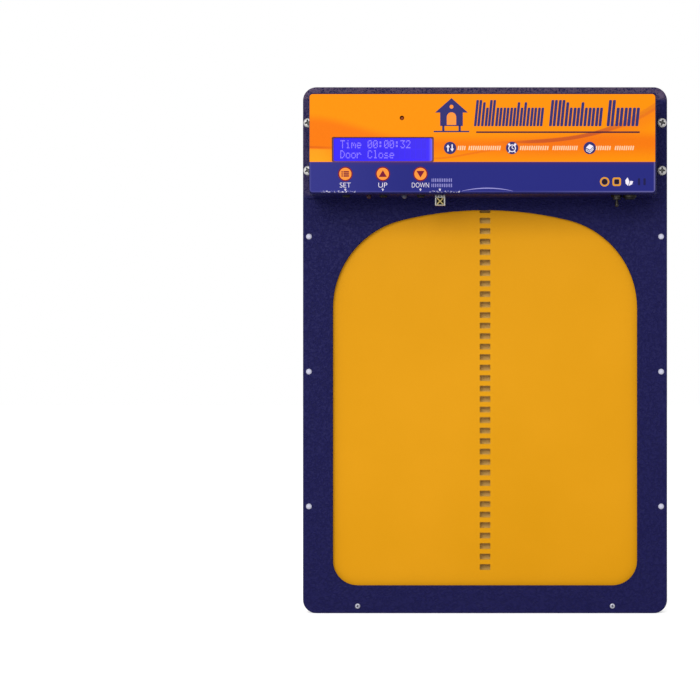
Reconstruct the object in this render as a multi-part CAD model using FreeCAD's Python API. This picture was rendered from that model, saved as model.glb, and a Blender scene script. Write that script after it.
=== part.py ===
import FreeCAD, Part
import math
import os

from FreeCAD import Vector

# Automatic coop door: a frame on the hen house wall, a sliding door driven by a sprocket that
# climbs its row of slots, and a control box on the front above the doorway.
# +Z is up, +X is to the right seen from the front, and the front faces -Y.
# The origin is the centre of the four wall-fixing holes on the back face. Millimetres.

# ---------------------------------------------------------------- driving dimensions
plate_width = 244.0
plate_height = 352.5
plate_corner = 9.0
face_thick = 2.0
rear_thick = 1.5
bar_depth = 10.0

doorway_width = 203.9
doorway_height = 251.6
sill_height = 18.6
doorway_corner = 16.5
shoulder_radius = 60.7
crown_radius = 235.0

door_thick = 1.5
door_front_gap = 1.5
door_half_width = 110.5
door_bottom_gap = 0.5
door_height = 326.0
door_travel = 252.0

slot_pitch = 7.05
slot_width = 7.1
slot_height = 3.85
slot_count = 43
first_slot_height = 30.7
drive_slot = 40

sprocket_teeth = 16
sprocket_width = 5.0
tooth_tip_radius = 19.4
tooth_root_radius = 16.5

bar_inner = 106.0
bar_outer = 121.0
groove_depth = 5.5
groove_width = 2.1

wall_hole_x = 116.5
wall_hole_z = 136.0
wall_hole_radius = 1.65

rivet_x = 118.0
rivet_heights = (71.6, 161.9, 252.4)
sill_screw_x = 85.3
sill_screw_height = 4.9

box_left = -115.1
box_right = 112.1
box_bottom_height = 277.8
box_top_height = 344.2
box_depth = 36.0
sheet = 1.2
cover_screw_x = 118.4
cover_screw_heights = (296.4, 328.4)

label_thick = 0.4
label_centre_x = -1.7
label_width = 225.9
label_height = 64.2
window_x = -66.8
window_height = 306.9
window_size = (66.7, 16.3)
sensor_x = -54.3
sensor_height = 327.5
sensor_hole = 1.5

button_x = {"set_button": -91.3, "up_button": -66.8, "down_button": -42.2}
button_travel = 0.8
red_led_x = -76.4
clear_led_x = -53.1
receiver_x = -29.5
receiver_gap = 3.6
toggle_x = 86.6
socket_x = 95.2
underside_row_y = -40.0

# ---------------------------------------------------------------- worked-out places
plate_bottom = -plate_height / 2
y_wall = 0.0
y_rear_front = -rear_thick
y_bar_front = y_rear_front - bar_depth
y_face_front = y_bar_front - face_thick
y_door_front = y_bar_front + door_front_gap
y_door_back = y_door_front + door_thick
y_door_middle = (y_door_front + y_door_back) / 2
y_cover_front = y_face_front - box_depth
y_cover_inside = y_cover_front + sheet

doorway_bottom = plate_bottom + sill_height
doorway_top = doorway_bottom + doorway_height
box_bottom = plate_bottom + box_bottom_height
box_top = plate_bottom + box_top_height
floor_inside = box_bottom + sheet
window_z = plate_bottom + window_height
sensor_z = plate_bottom + sensor_height
label_z = (box_bottom + box_top) / 2

pitch_radius = sprocket_teeth * slot_pitch / (2 * math.pi)
axle_y = y_door_middle - pitch_radius
axle_z = plate_bottom + first_slot_height + slot_pitch * drive_slot

X = Vector(1, 0, 0)
Y = Vector(0, 1, 0)
Z = Vector(0, 0, 1)


# ---------------------------------------------------------------- small geometry helpers
def block(x0, x1, y0, y1, z0, z1):
    """Box between two corners."""
    return Part.makeBox(x1 - x0, y1 - y0, z1 - z0, Vector(x0, y0, z0))


def rod(radius, start, length, axis):
    """Round bar from a start point along an axis."""
    return Part.makeCylinder(radius, length, Vector(*start), axis)


def tube(outer, inner, start, length, axis):
    """Round bar with a hole through it."""
    return rod(outer, start, length, axis).cut(rod(inner, start, length, axis))


def joined(shapes):
    """One solid from several that touch or overlap."""
    return shapes[0].multiFuse(shapes[1:]).removeSplitter()


def pierced(shape, tools):
    """A solid with several holes cut out of it."""
    return shape.cut(Part.makeCompound(tools))


def slab(x0, x1, z0, z1, corner, y0, y1):
    """Upright sheet with four rounded corners, from depth y0 to y1."""
    body = block(x0, x1, y0, y1, z0, z1)
    edges = [edge for edge in body.Edges if abs(edge.tangentAt(edge.FirstParameter).y) > 0.9]
    return body.makeFillet(corner, edges)


def prism(points, x0, x1):
    """Solid with a (y, z) outline, drawn out along X."""
    corners = [Vector(x0, y, z) for y, z in points]
    face = Part.Face(Part.makePolygon(corners + corners[:1]))
    return face.extrude(Vector(x1 - x0, 0, 0))


def turned(profile, centre, axis_direction):
    """Solid of revolution: (radius, height) points turned about an axis through centre."""
    points = [Vector(r, 0, h) for r, h in profile]
    face = Part.Face(Part.makePolygon(points + points[:1]))
    body = face.revolve(Vector(0, 0, 0), Z, 360)
    body.Placement = FreeCAD.Placement(Vector(*centre), FreeCAD.Rotation(Z, axis_direction))
    return body


def dome(radius, height):
    """Low dome on the plane h = 0, as a half outline with an arc."""
    sphere_radius = (radius ** 2 + height ** 2) / (2 * height)
    ball = Part.makeSphere(sphere_radius, Vector(0, 0, height - sphere_radius))
    return ball.common(rod(radius, (0, 0, 0), height, Z))


def placed(shape, centre, axis_direction):
    """Copy of a shape built up along +Z, moved to centre with +Z turned to a direction."""
    copy = shape.copy()
    copy.Placement = FreeCAD.Placement(Vector(*centre), FreeCAD.Rotation(Z, axis_direction))
    return copy


def wire(points, radius):
    """Round wire along straight runs joined by tangent arcs, each as large as its runs allow."""
    corners = [Vector(*point) for point in points]
    edges = []
    start = corners[0]
    for before, corner, after in zip(corners, corners[1:], corners[2:]):
        into = (corner - before)
        away = (after - corner)
        reach = 0.45 * min(into.Length, away.Length)
        into.normalize()
        away.normalize()
        half_turn = into.getAngle(away) / 2
        arc_radius = reach / math.tan(half_turn)
        first = corner - into * reach
        last = corner + away * reach
        inward = (away - into).normalize()
        middle = corner + inward * (arc_radius / math.cos(half_turn) - arc_radius)
        edges.append(Part.LineSegment(start, first).toShape())
        edges.append(Part.Arc(first, middle, last).toShape())
        start = last
    edges.append(Part.LineSegment(start, corners[-1]).toShape())
    direction = corners[1] - corners[0]
    circle = Part.Wire(Part.makeCircle(radius, corners[0], direction))
    return Part.Wire(edges).makePipeShell([circle], True, True)


# ---------------------------------------------------------------- frame
def doorway_outline(y):
    """Arched doorway: flat sill, rounded lower corners, upright sides, shoulders and a flat crown."""
    half = doorway_width / 2
    reach = crown_radius - shoulder_radius
    shoulder_x = half - shoulder_radius
    crown_z = doorway_top - crown_radius
    rise = math.sqrt(reach ** 2 - shoulder_x ** 2)
    shoulder_z = crown_z + rise
    tangent = math.atan2(rise, shoulder_x)
    middle = tangent / 2
    corner_x = half - doorway_corner
    corner_z = doorway_bottom + doorway_corner
    diagonal = doorway_corner * math.sqrt(0.5)

    def at(x, z):
        return Vector(x, y, z)

    def shoulder(side, angle):
        x = shoulder_x + shoulder_radius * math.cos(angle)
        return at(side * x, shoulder_z + shoulder_radius * math.sin(angle))

    edges = [Part.LineSegment(at(-corner_x, doorway_bottom), at(corner_x, doorway_bottom))]
    for side in (1, -1):
        edges.append(Part.Arc(at(side * corner_x, doorway_bottom),
                              at(side * (corner_x + diagonal), corner_z - diagonal),
                              at(side * half, corner_z)))
        edges.append(Part.LineSegment(at(side * half, corner_z), at(side * half, shoulder_z)))
        edges.append(Part.Arc(shoulder(side, 0), shoulder(side, middle), shoulder(side, tangent)))
    edges.append(Part.Arc(shoulder(1, tangent), at(0, doorway_top), shoulder(-1, tangent)))
    ordered = Part.__sortEdges__([edge.toShape() for edge in edges])
    return Part.Wire(ordered)


def arched_sheet(y0, y1, corner):
    """Sheet with the plate's outline and the doorway through it."""
    sheet_body = slab(-plate_width / 2, plate_width / 2, plate_bottom, -plate_bottom, corner, y0, y1)
    opening = Part.Face(doorway_outline(y0)).extrude(Vector(0, y1 - y0, 0))
    return sheet_body.cut(opening)


def rivet_places():
    return [(side * rivet_x, plate_bottom + height) for side in (-1, 1) for height in rivet_heights]


def cover_screw_places():
    return [(side * cover_screw_x, plate_bottom + height)
            for side in (-1, 1) for height in cover_screw_heights]


def wall_hole_places():
    return [(side * wall_hole_x, row * wall_hole_z) for side in (-1, 1) for row in (-1, 1)]


rivet_shank = 1.2
cover_screw_shank = 1.6
sill_screw_shank = 1.1
bracket_screw_shank = 1.2
window_half_width = 5.0
window_half_height = 14.5


def through_holes(places, radius, y0, y1):
    return [rod(radius, (x, y0, z), y1 - y0, Y) for x, z in places]


def sill_screw_places():
    return [(side * sill_screw_x, plate_bottom + sill_screw_height) for side in (-1, 1)]


def face_plate():
    """Front sheet: doorway, sprocket window, and holes for rivets, cover, sill and bracket screws."""
    y0 = y_face_front
    y1 = y_bar_front
    body = arched_sheet(y0, y1, plate_corner)
    body = body.makeFillet(0.5, outline_edges(body, y0))
    window = block(-window_half_width, window_half_width, y0, y1,
                   axle_z - window_half_height, axle_z + window_half_height)
    tools = [window]
    tools += through_holes(rivet_places(), rivet_shank, y0, y1)
    tools += through_holes(cover_screw_places(), cover_screw_shank, y0, y1)
    tools += through_holes(sill_screw_places(), sill_screw_shank, y0, y1)
    tools += through_holes(bracket_screw_places(), bracket_screw_shank, y0, y1)
    tools += through_holes(board_places(), board_screw_shank, y0, y1)
    return pierced(body, tools)


def outline_edges(body, y):
    """Edges of a sheet that lie in the plane of its front face."""
    return [edge for edge in body.Edges
            if abs(edge.BoundBox.YMin - y) < 0.01 and abs(edge.BoundBox.YMax - y) < 0.01]


def rear_frame():
    """Back sheet that closes the door's track; its outer face lies on the wall."""
    body = arched_sheet(y_rear_front, y_wall, plate_corner)
    tools = through_holes(rivet_places(), rivet_shank, y_rear_front, y_wall)
    tools += through_holes(wall_hole_places(), wall_hole_radius, y_rear_front, y_wall)
    return pierced(body, tools)


def guide_bar(side):
    """Plastic bar down one side, with the groove that the door's edge slides in."""
    x0, x1 = sorted((side * bar_inner, side * bar_outer))
    inset = 1.0
    outline = slab(inset - plate_width / 2, plate_width / 2 - inset,
                   plate_bottom + inset, -plate_bottom - inset, plate_corner - inset, y_bar_front, y_rear_front)
    body = outline.common(block(x0, x1, y_bar_front, y_rear_front, plate_bottom, -plate_bottom))
    g0, g1 = sorted((side * bar_inner, side * (bar_inner + groove_depth)))
    groove = block(g0, g1, y_door_middle - groove_width / 2, y_door_middle + groove_width / 2,
                   plate_bottom, -plate_bottom)
    tools = [groove]
    own = [place for place in rivet_places() if place[0] * side > 0]
    tools += through_holes(own, rivet_shank, y_bar_front, y_rear_front)
    own = [place for place in cover_screw_places() if place[0] * side > 0]
    tools += through_holes(own, cover_screw_shank, y_bar_front, y_bar_front + 8.0)
    own = [place for place in wall_hole_places() if place[0] * side > 0]
    tools += through_holes(own, wall_hole_radius, y_rear_front - 8.0, y_rear_front)
    return pierced(body, tools)


def bottom_bar():
    """Sill between the two sheets, under the closed door."""
    body = block(0.5 - bar_inner, bar_inner - 0.5, y_bar_front, y_rear_front,
                 plate_bottom + 1.0, plate_bottom + 10.5)
    holes = through_holes(sill_screw_places(), sill_screw_shank, y_bar_front, y_bar_front + 7.0)
    return pierced(body, holes)


def frame_rivets():
    """Six domed rivets through both sheets and the guide bars, clinched flush at the back."""
    head = dome(1.9, 1.1)
    shank_length = y_wall - y_face_front
    return [joined([placed(head, (x, y_face_front, z), -Y),
                    rod(rivet_shank, (x, y_face_front, z), shank_length, Y)])
            for x, z in rivet_places()]


def cross_recess(size, depth, thick):
    """Cross-head driver recess, sunk into the plane h = 0."""
    arm = block(-size, size, -thick, thick, -depth, 0.5)
    other = block(-thick, thick, -size, size, -depth, 0.5)
    return arm.fuse(other)


def pan_screw(head_radius, head_height, shank_radius, shank_length):
    """Pan-head screw built along +Z: head above h = 0, shank below."""
    cap = dome(head_radius, head_height * 0.55)
    cap.translate(Vector(0, 0, head_height * 0.45))
    base = rod(head_radius, (0, 0, 0), head_height * 0.45, Z)
    shank = rod(shank_radius, (0, 0, -shank_length), shank_length, Z)
    recess = cross_recess(head_radius * 0.55, head_height * 0.6, head_radius * 0.11)
    recess.translate(Vector(0, 0, head_height))
    return joined([cap, base, shank]).cut(recess)


def screws(places, screw, y):
    """Copies of a screw with their heads to the front."""
    return [placed(screw, (x, y, z), -Y) for x, z in places]


def bottom_screws():
    return screws(sill_screw_places(), pan_screw(1.75, 1.2, sill_screw_shank, 8.5), y_face_front)


def cover_screws():
    return screws(cover_screw_places(), pan_screw(3.2, 2.2, cover_screw_shank, 10.5), y_face_front - sheet)


# ---------------------------------------------------------------- control box
def cover_shell():
    """Folded tray, open at the back, with softly bent front edges."""
    outer = block(box_left, box_right, y_cover_front, y_face_front, box_bottom, box_top)
    front = [edge for edge in outer.Edges if edge.BoundBox.YMax < y_cover_front + 0.01]
    deep = [edge for edge in outer.Edges if edge.BoundBox.YLength > box_depth - 1]
    outer = outer.makeFillet(1.6, front + deep)
    inner = block(box_left + sheet, box_right - sheet, y_cover_inside, y_face_front,
                  box_bottom + sheet, box_top - sheet)
    return outer.cut(inner)


def cover_flange(side):
    """Screw flange folded out flat on the face plate."""
    x0, x1 = ((box_right - sheet, bar_outer), (-bar_outer, box_left + sheet))[side < 0]
    return block(x0, x1, y_face_front - sheet, y_face_front, box_bottom, box_top)


button_radius = 2.5
button_hole = 2.85
led_radius = 1.6
led_hole = 1.7
bushing_radius = 2.7
socket_radius = 3.2


def underside_tools():
    """Holes through the underside for buttons, lamps, receiver leads, switch and power socket."""
    z = box_bottom - 1
    depth = sheet + 2
    rounds = [(x, button_hole) for x in button_x.values()]
    rounds += [(red_led_x, led_hole), (clear_led_x, led_hole)]
    rounds += [(toggle_x, bushing_radius), (socket_x, socket_radius)]
    tools = [rod(radius, (x, underside_row_y, z), depth, Z) for x, radius in rounds]
    tools.append(block(receiver_x - receiver_gap, receiver_x + receiver_gap, underside_row_y - 3.0,
                       underside_row_y + 0.9, z, z + depth))
    return tools


def window_tool(y0, y1):
    width, height = window_size
    return block(window_x - width / 2, window_x + width / 2, y0, y1,
                 window_z - height / 2, window_z + height / 2)


def sensor_tool(y0, y1):
    return rod(sensor_hole, (sensor_x, y0, sensor_z), y1 - y0, Y)


def box_cover():
    """Control box cover with its flanges, display window and every hole."""
    body = joined([cover_shell(), cover_flange(-1), cover_flange(1)])
    tools = underside_tools()
    tools.append(window_tool(y_cover_front - 1, y_cover_inside + 1))
    tools.append(sensor_tool(y_cover_front - 1, y_cover_inside + 1))
    tools += through_holes(cover_screw_places(), cover_screw_shank, y_face_front - sheet, y_face_front)
    return pierced(body, tools)


def label_panel():
    """Printed label on the front of the cover, open at the display and the light sensor."""
    y0 = y_cover_front - label_thick
    body = slab(label_centre_x - label_width / 2, label_centre_x + label_width / 2,
                label_z - label_height / 2, label_z + label_height / 2, 2.0, y0, y_cover_front)
    return pierced(body, [window_tool(y0, y_cover_front), sensor_tool(y0, y_cover_front)])


# ---------------------------------------------------------------- door
channel_flange = 11.5
channel_half = 6.5
channel_wall = 1.0
channel_depth = 6.0
door_bottom = plate_bottom + 10.5 + door_bottom_gap
door_top = door_bottom + door_height


def slot_centres():
    return [plate_bottom + first_slot_height + slot_pitch * k for k in range(slot_count)]


def door_panel():
    """Sliding panel with its row of drive slots."""
    body = slab(-door_half_width, door_half_width, door_bottom, door_top, 3.0, y_door_front, y_door_back)
    slots = [slab(-slot_width / 2, slot_width / 2, z - slot_height / 2, z + slot_height / 2, 0.5,
                  y_door_front, y_door_back) for z in slot_centres()]
    return pierced(body, slots)


def door_channel():
    """Hat section spot-welded behind the slots: stiffens the door and leaves the teeth room."""
    z0 = door_bottom + 3
    z1 = door_top - 3
    y0 = y_door_back
    back = y0 + channel_depth
    hat = block(-channel_half, channel_half, y0, back, z0, z1)
    inner = block(channel_wall - channel_half, channel_half - channel_wall, y0, back - channel_wall, z0, z1)
    flanges = [block(-channel_flange, channel_wall - channel_half, y0, y0 + channel_wall, z0, z1),
               block(channel_half - channel_wall, channel_flange, y0, y0 + channel_wall, z0, z1)]
    return joined([hat.cut(inner)] + flanges)


# ---------------------------------------------------------------- drive
shaft_radius = 2.0
running_bore = 2.05
hub_radius = 6.5
gearbox_x = 10.5
gearbox_length = 20.0
motor_length = 31.0
motor_radius = 12.2
gearbox_radius = 12.5
bracket_thick = 2.0
bearing_x = -10.5
foot_length = 14.0
motor_tag_rise = 8.5
cheek_reach = 10.0
motor_cheek_half = 21.5
ear_height = 8.0
bearing_cheek_half = 13.5
gearbox_screw_rise = 8.5
gearbox_boss_radius = 3.6
bush_radius = 4.0


def sprocket_tooth():
    """Tapered tooth, pointing to +Y from the axle."""
    half_outline = [(tooth_root_radius - 1.5, 2.1), (pitch_radius, 1.2), (tooth_tip_radius - 0.6, 0.65),
                    (tooth_tip_radius, 0.2)]
    mirrored = [(reach, -half) for reach, half in reversed(half_outline)]
    return prism(half_outline + mirrored, -sprocket_width / 2, sprocket_width / 2)


def drive_sprocket():
    """Sprocket with a hub, a grub-screw hole and six lightening holes; one tooth sits in a slot."""
    half = sprocket_width / 2
    disc = rod(tooth_root_radius, (-half, 0, 0), sprocket_width, X)
    hub = rod(hub_radius, (-half, 0, 0), sprocket_width + 4.5, X)
    teeth = []
    for k in range(sprocket_teeth):
        tooth = sprocket_tooth()
        tooth.rotate(Vector(0, 0, 0), X, 360.0 / sprocket_teeth * k)
        teeth.append(tooth)
    body = joined([disc, hub] + teeth)
    tools = [rod(shaft_radius, (-half, 0, 0), sprocket_width + 4.5, X)]
    tools.append(rod(1.25, (half + 2.2, 0, 0), hub_radius + 1, Z))
    for k in range(6):
        hole = rod(2.4, (-half, 11.5, 0), sprocket_width, X)
        hole.rotate(Vector(0, 0, 0), X, 60 * k + 30)
        tools.append(hole)
    body = pierced(body, tools)
    body.translate(Vector(0, axle_y, axle_z))
    return body


def output_shaft():
    """Shaft from inside the gearbox through the sprocket to the far bush."""
    return rod(shaft_radius, (bearing_x - 2.5, axle_y, axle_z), gearbox_x + 9.0 - bearing_x + 2.5, X)


def grub_screw():
    """Screw that locks the sprocket on the shaft."""
    half = sprocket_width / 2
    body = rod(1.25, (half + 2.2, axle_y, axle_z + shaft_radius), 4.0, Z)
    socket = rod(0.6, (half + 2.2, axle_y, axle_z + shaft_radius + 2.6), 2.0, Z)
    return body.cut(socket)


def gearbox():
    """Round gear train housing with a boss around the output shaft."""
    body = joined([rod(gearbox_radius, (gearbox_x, axle_y, axle_z), gearbox_length, X),
                   rod(gearbox_boss_radius, (gearbox_x - 2.0, axle_y, axle_z), 2.5, X)])
    tools = [rod(running_bore, (gearbox_x - 2.5, axle_y, axle_z), 12.0, X)]
    tools += [rod(1.25, (gearbox_x, axle_y, axle_z + side * gearbox_screw_rise), 5.0, X)
              for side in (-1, 1)]
    return pierced(body, tools)


def motor():
    """Motor can with its end cap and two terminals."""
    x0 = gearbox_x + gearbox_length
    can = rod(motor_radius, (x0, axle_y, axle_z), motor_length, X)
    cap = rod(5.0, (x0 + motor_length, axle_y, axle_z), 2.0, X)
    tags = [block(x0 + motor_length - 0.5, x0 + motor_length + 3.0, axle_y - 0.3, axle_y + 0.3,
                  axle_z + side * motor_tag_rise - 1.2, axle_z + side * motor_tag_rise + 1.2)
            for side in (-1, 1)]
    return joined([can, cap] + tags)


def bracket(x0, x1, foot_side, bore_radius):
    """L-shaped bracket: an upright cheek around the axle and a foot screwed to the face plate."""
    half = bearing_cheek_half
    cheek = block(x0, x1, axle_y - cheek_reach, y_face_front, axle_z - half, axle_z + half)
    foot_x = (x1, x1 + foot_length) if foot_side > 0 else (x0 - foot_length, x0)
    foot = block(min(foot_x[0], x0), max(foot_x[1], x1), y_face_front - bracket_thick, y_face_front,
                 axle_z - half, axle_z + half)
    return joined([cheek, foot]).cut(rod(bore_radius, (x0, axle_y, axle_z), x1 - x0, X))


def bracket_screw_places():
    """Foot screws: beyond the motor above and below it, and two on the bearing side."""
    motor_side = [(gearbox_x + 6.0, axle_z + side * 18.0) for side in (-1, 1)]
    bearing_side = [(bearing_x - 8.0, axle_z + side * 9.0) for side in (-1, 1)]
    return motor_side + bearing_side


def motor_bracket():
    """Bracket between sprocket and gearbox; its two ears pass above and below the gearbox."""
    x0 = gearbox_x - bracket_thick
    cheek = block(x0, gearbox_x, axle_y - cheek_reach, y_face_front,
                  axle_z - motor_cheek_half, axle_z + motor_cheek_half)
    ears = [block(x0, gearbox_x + 11.0, y_face_front - bracket_thick, y_face_front,
                  axle_z + low, axle_z + low + ear_height)
            for low in (-motor_cheek_half, motor_cheek_half - ear_height)]
    body = joined([cheek] + ears)
    tools = [rod(gearbox_boss_radius, (x0, axle_y, axle_z), bracket_thick, X)]
    tools += [rod(1.3, (x0, axle_y, axle_z + side * gearbox_screw_rise), bracket_thick, X)
              for side in (-1, 1)]
    motor_side = bracket_screw_places()[:2]
    tools += through_holes(motor_side, bracket_screw_shank, y_face_front - bracket_thick, y_face_front)
    return pierced(body, tools)


def bearing_bracket():
    """Bracket that carries the free end of the shaft."""
    body = bracket(bearing_x - bracket_thick, bearing_x, -1, bush_radius)
    bearing_side = bracket_screw_places()[2:]
    return pierced(body, through_holes(bearing_side, bracket_screw_shank,
                                       y_face_front - bracket_thick, y_face_front))


def bearing_bush():
    """Flanged plain bush in the bearing bracket."""
    x0 = bearing_x - bracket_thick
    flange_thick = 0.8
    sleeve = rod(bush_radius, (x0, axle_y, axle_z), bracket_thick + flange_thick, X)
    flange = rod(5.5, (bearing_x, axle_y, axle_z), flange_thick, X)
    return joined([sleeve, flange]).cut(rod(running_bore, (x0, axle_y, axle_z), bracket_thick + 2, X))


def motor_screws():
    """Two screws through the bracket's cheek into the gearbox."""
    screw = pan_screw(2.0, 1.1, 1.25, 6.5)
    return [placed(screw, (gearbox_x - bracket_thick, axle_y, axle_z + side * gearbox_screw_rise), -X)
            for side in (-1, 1)]


def bracket_screws():
    """Screws that hold both brackets to the face plate."""
    return screws(bracket_screw_places(), pan_screw(2.2, 1.4, bracket_screw_shank, 4.0),
                  y_face_front - bracket_thick)


# ---------------------------------------------------------------- display
display_board_y = -41.4
board_thick = 1.6
display_half = 41.0
display_low = box_bottom + 10.75
display_high = sensor_z + 11.5
bezel_half = (35.6, 12.1)
bezel_view = (32.25, 7.85)


def lcd_bezel():
    """Pressed frame around the display glass."""
    half_x, half_z = bezel_half
    y0 = y_cover_inside + 0.3
    body = block(window_x - half_x, window_x + half_x, y0, display_board_y,
                 window_z - half_z, window_z + half_z)
    wall = 0.6
    inner = block(window_x - half_x + wall, window_x + half_x - wall, y0 + wall, display_board_y,
                  window_z - half_z + wall, window_z + half_z - wall)
    view_x, view_z = bezel_view
    view = block(window_x - view_x, window_x + view_x, y0, y0 + wall,
                 window_z - view_z, window_z + view_z)
    return pierced(body, [inner, view])


def lcd_glass():
    """Display glass with its backlight block behind it."""
    half_x, half_z = bezel_half
    y0 = y_cover_inside + 0.9
    return block(window_x - half_x + 0.8, window_x + half_x - 0.8, y0, display_board_y,
                 window_z - half_z + 0.8, window_z + half_z - 0.8)


def display_post_places():
    x_low = window_x - display_half + 2.6
    x_high = window_x + display_half - 2.6
    return [(x, z) for x in (x_low, x_high) for z in (display_low + 3.0, display_high - 3.0)]


def display_board():
    """Circuit board behind the display, which also carries the light sensor."""
    body = block(window_x - display_half, window_x + display_half, display_board_y,
                 display_board_y + board_thick, display_low, display_high)
    return pierced(body, through_holes(display_post_places(), 1.2, display_board_y,
                                       display_board_y + board_thick))


def display_standoffs():
    """Four posts on the cover's inner face, with the pegs that hold the display board."""
    return [joined([rod(2.3, (x, y_cover_inside, z), display_board_y - y_cover_inside, Y),
                    rod(1.2, (x, display_board_y, z), board_thick + 1.0, Y)])
            for x, z in display_post_places()]


def light_sensor():
    """Domed daylight sensor behind its hole, on two short leads."""
    body = rod(2.0, (sensor_x, y_cover_inside + 1.5, sensor_z), 3.6, Y)
    cap = placed(dome(2.0, 1.2), (sensor_x, y_cover_inside + 1.5, sensor_z), -Y)
    lead_start = y_cover_inside + 5.0
    leads = [rod(0.25, (sensor_x + side * 1.0, lead_start, sensor_z), display_board_y - lead_start, Y)
             for side in (-1, 1)]
    return joined([body, cap] + leads)


# ---------------------------------------------------------------- buttons, lamps and receiver
button_board_z = floor_inside + 5.7
switch_bottom = floor_inside + 2.25
button_proud = 1.3


def button_board():
    """Board above the underside for the switches, lamps and receiver, clipped to the cover's front."""
    return block(-101.0, -23.5, y_cover_inside, -32.0, button_board_z, button_board_z + board_thick)


def push_switches():
    """Three square push switches under the button board, each with a well for its plunger."""
    half = 3.1
    bodies = []
    for x in button_x.values():
        body = block(x - half, x + half, underside_row_y - half, underside_row_y + half,
                     switch_bottom, button_board_z)
        bodies.append(body.cut(rod(1.8, (x, underside_row_y, switch_bottom), 2.6, Z)))
    return bodies


def button_cap(name):
    """Button: a rounded cap below the box, a collar that keeps it in, and a plunger to the switch."""
    x = button_x[name]
    low = box_bottom - button_proud
    cap = rod(button_radius, (x, underside_row_y, low), floor_inside + 1.0 - low, Z)
    cap = cap.makeFillet(0.5, [edge for edge in cap.Edges if edge.BoundBox.ZMax < low + 0.01])
    collar = rod(3.3, (x, underside_row_y, floor_inside + 0.2), 0.8, Z)
    plunger = rod(1.5, (x, underside_row_y, floor_inside + 0.5), 3.0, Z)
    return joined([cap, collar, plunger])


def lamp(x):
    """Round 3 mm lamp: domed end down, flange inside, two leads up to the board."""
    y = underside_row_y
    tip = box_bottom - 2.4
    body = rod(led_radius, (x, y, tip + led_radius), floor_inside + 1.2 - tip - led_radius, Z)
    ball = Part.makeSphere(led_radius, Vector(x, y, tip + led_radius))
    flange = rod(1.9, (x, y, floor_inside), 0.9, Z)
    lead_start = floor_inside + 1.0
    leads = [rod(0.25, (x + side * 0.8, y, lead_start), button_board_z - lead_start, Z) for side in (-1, 1)]
    return joined([body, ball, flange] + leads)


receiver_half = 3.25
receiver_top = box_bottom - 1.35
receiver_bottom = receiver_top - 5.5
receiver_middle = (receiver_bottom + receiver_top) / 2
receiver_y = (underside_row_y - 2.6, underside_row_y + 2.4)


def ir_shield():
    """Folded tin screen around the receiver, crossed over its window, with four tabs up into the box."""
    y0, y1 = receiver_y
    wall = 0.35
    tab_width = 0.85
    window_half = (2.2, 2.1)
    body = block(receiver_x - receiver_half, receiver_x + receiver_half, y0, y1,
                 receiver_bottom, receiver_top)
    inner = block(receiver_x - receiver_half + wall, receiver_x + receiver_half - wall,
                  y0 + wall, y1 - wall, receiver_bottom + wall, receiver_top)
    window = slab(receiver_x - window_half[0], receiver_x + window_half[0],
                  receiver_middle - window_half[1], receiver_middle + window_half[1], 0.8, y0, y0 + wall)
    bars = []
    for turn in (-45, 45):
        bar = block(-4.2, 4.2, y0, y0 + wall, -0.35, 0.35)
        bar.rotate(Vector(0, 0, 0), Y, turn)
        bar.translate(Vector(receiver_x, 0, receiver_middle))
        bars.append(bar.common(window))
    first_tab = receiver_x - receiver_half
    tab_step = (2 * receiver_half - tab_width) / 3
    tabs = [block(first_tab + k * tab_step, first_tab + k * tab_step + tab_width, y0, y0 + wall,
                  receiver_top - wall, floor_inside) for k in range(4)]
    return joined([body.cut(inner).cut(window)] + bars + tabs)


def ir_lens():
    """Dark moulded receiver inside the screen, with its lens bulging towards the window."""
    y0, y1 = receiver_y
    half = receiver_half - 0.55
    bulge_radius = 2.1
    body = block(receiver_x - half, receiver_x + half, y0 + 1.9, y1 - 0.5,
                 receiver_bottom + 0.5, receiver_top)
    bulge = Part.makeSphere(bulge_radius, Vector(receiver_x, y0 + 2.6, receiver_middle))
    front_half = block(receiver_x - bulge_radius, receiver_x + bulge_radius, y0, y0 + 2.6,
                       receiver_middle - bulge_radius, receiver_middle + bulge_radius)
    return joined([body, bulge.common(front_half)])


def ir_leads():
    """Three leads from the receiver up to the button board."""
    return [block(receiver_x + 2.0 * k - 0.25, receiver_x + 2.0 * k + 0.25, underside_row_y - 0.25,
                  underside_row_y + 0.25, receiver_top, button_board_z) for k in (-1, 0, 1)]


# ---------------------------------------------------------------- power switch and socket
lever_pivot_z = floor_inside + 1.5
lever_rest_tilt = 11.0
toggle_bore = 2.25


def toggle_body():
    """Switch body inside the box, hollow round the lever's ball, with three solder tags."""
    top = floor_inside + 8.5
    body = block(toggle_x - 3.4, toggle_x + 3.4, underside_row_y - 5.0, underside_row_y + 5.0,
                 floor_inside, top)
    tags = [block(toggle_x - 0.9, toggle_x + 0.9, underside_row_y + rear - 0.2, underside_row_y + rear + 0.2,
                  top, top + 3.0) for rear in (-3.5, 0.0, 3.5)]
    return joined([body] + tags).cut(rod(toggle_bore, (toggle_x, underside_row_y, floor_inside), 4.0, Z))


def toggle_bushing():
    """Threaded bush through the underside."""
    low = box_bottom - 2.8
    return tube(bushing_radius, toggle_bore, (toggle_x, underside_row_y, low), floor_inside - low, Z)


def hex_nut(x, y, z, across, bore, thick):
    """Hexagon nut lying flat, with its flats parallel to X."""
    corner = across / math.sqrt(3)
    turns = [math.radians(60 * k) for k in range(6)]
    points = [Vector(x + corner * math.cos(turn), y + corner * math.sin(turn), z) for turn in turns]
    face = Part.Face(Part.makePolygon(points + points[:1]))
    return face.extrude(Vector(0, 0, thick)).cut(rod(bore, (x, y, z), thick, Z))


def toggle_nut():
    thick = 1.3
    return hex_nut(toggle_x, underside_row_y, box_bottom - thick, 6.6, bushing_radius, thick)


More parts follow.
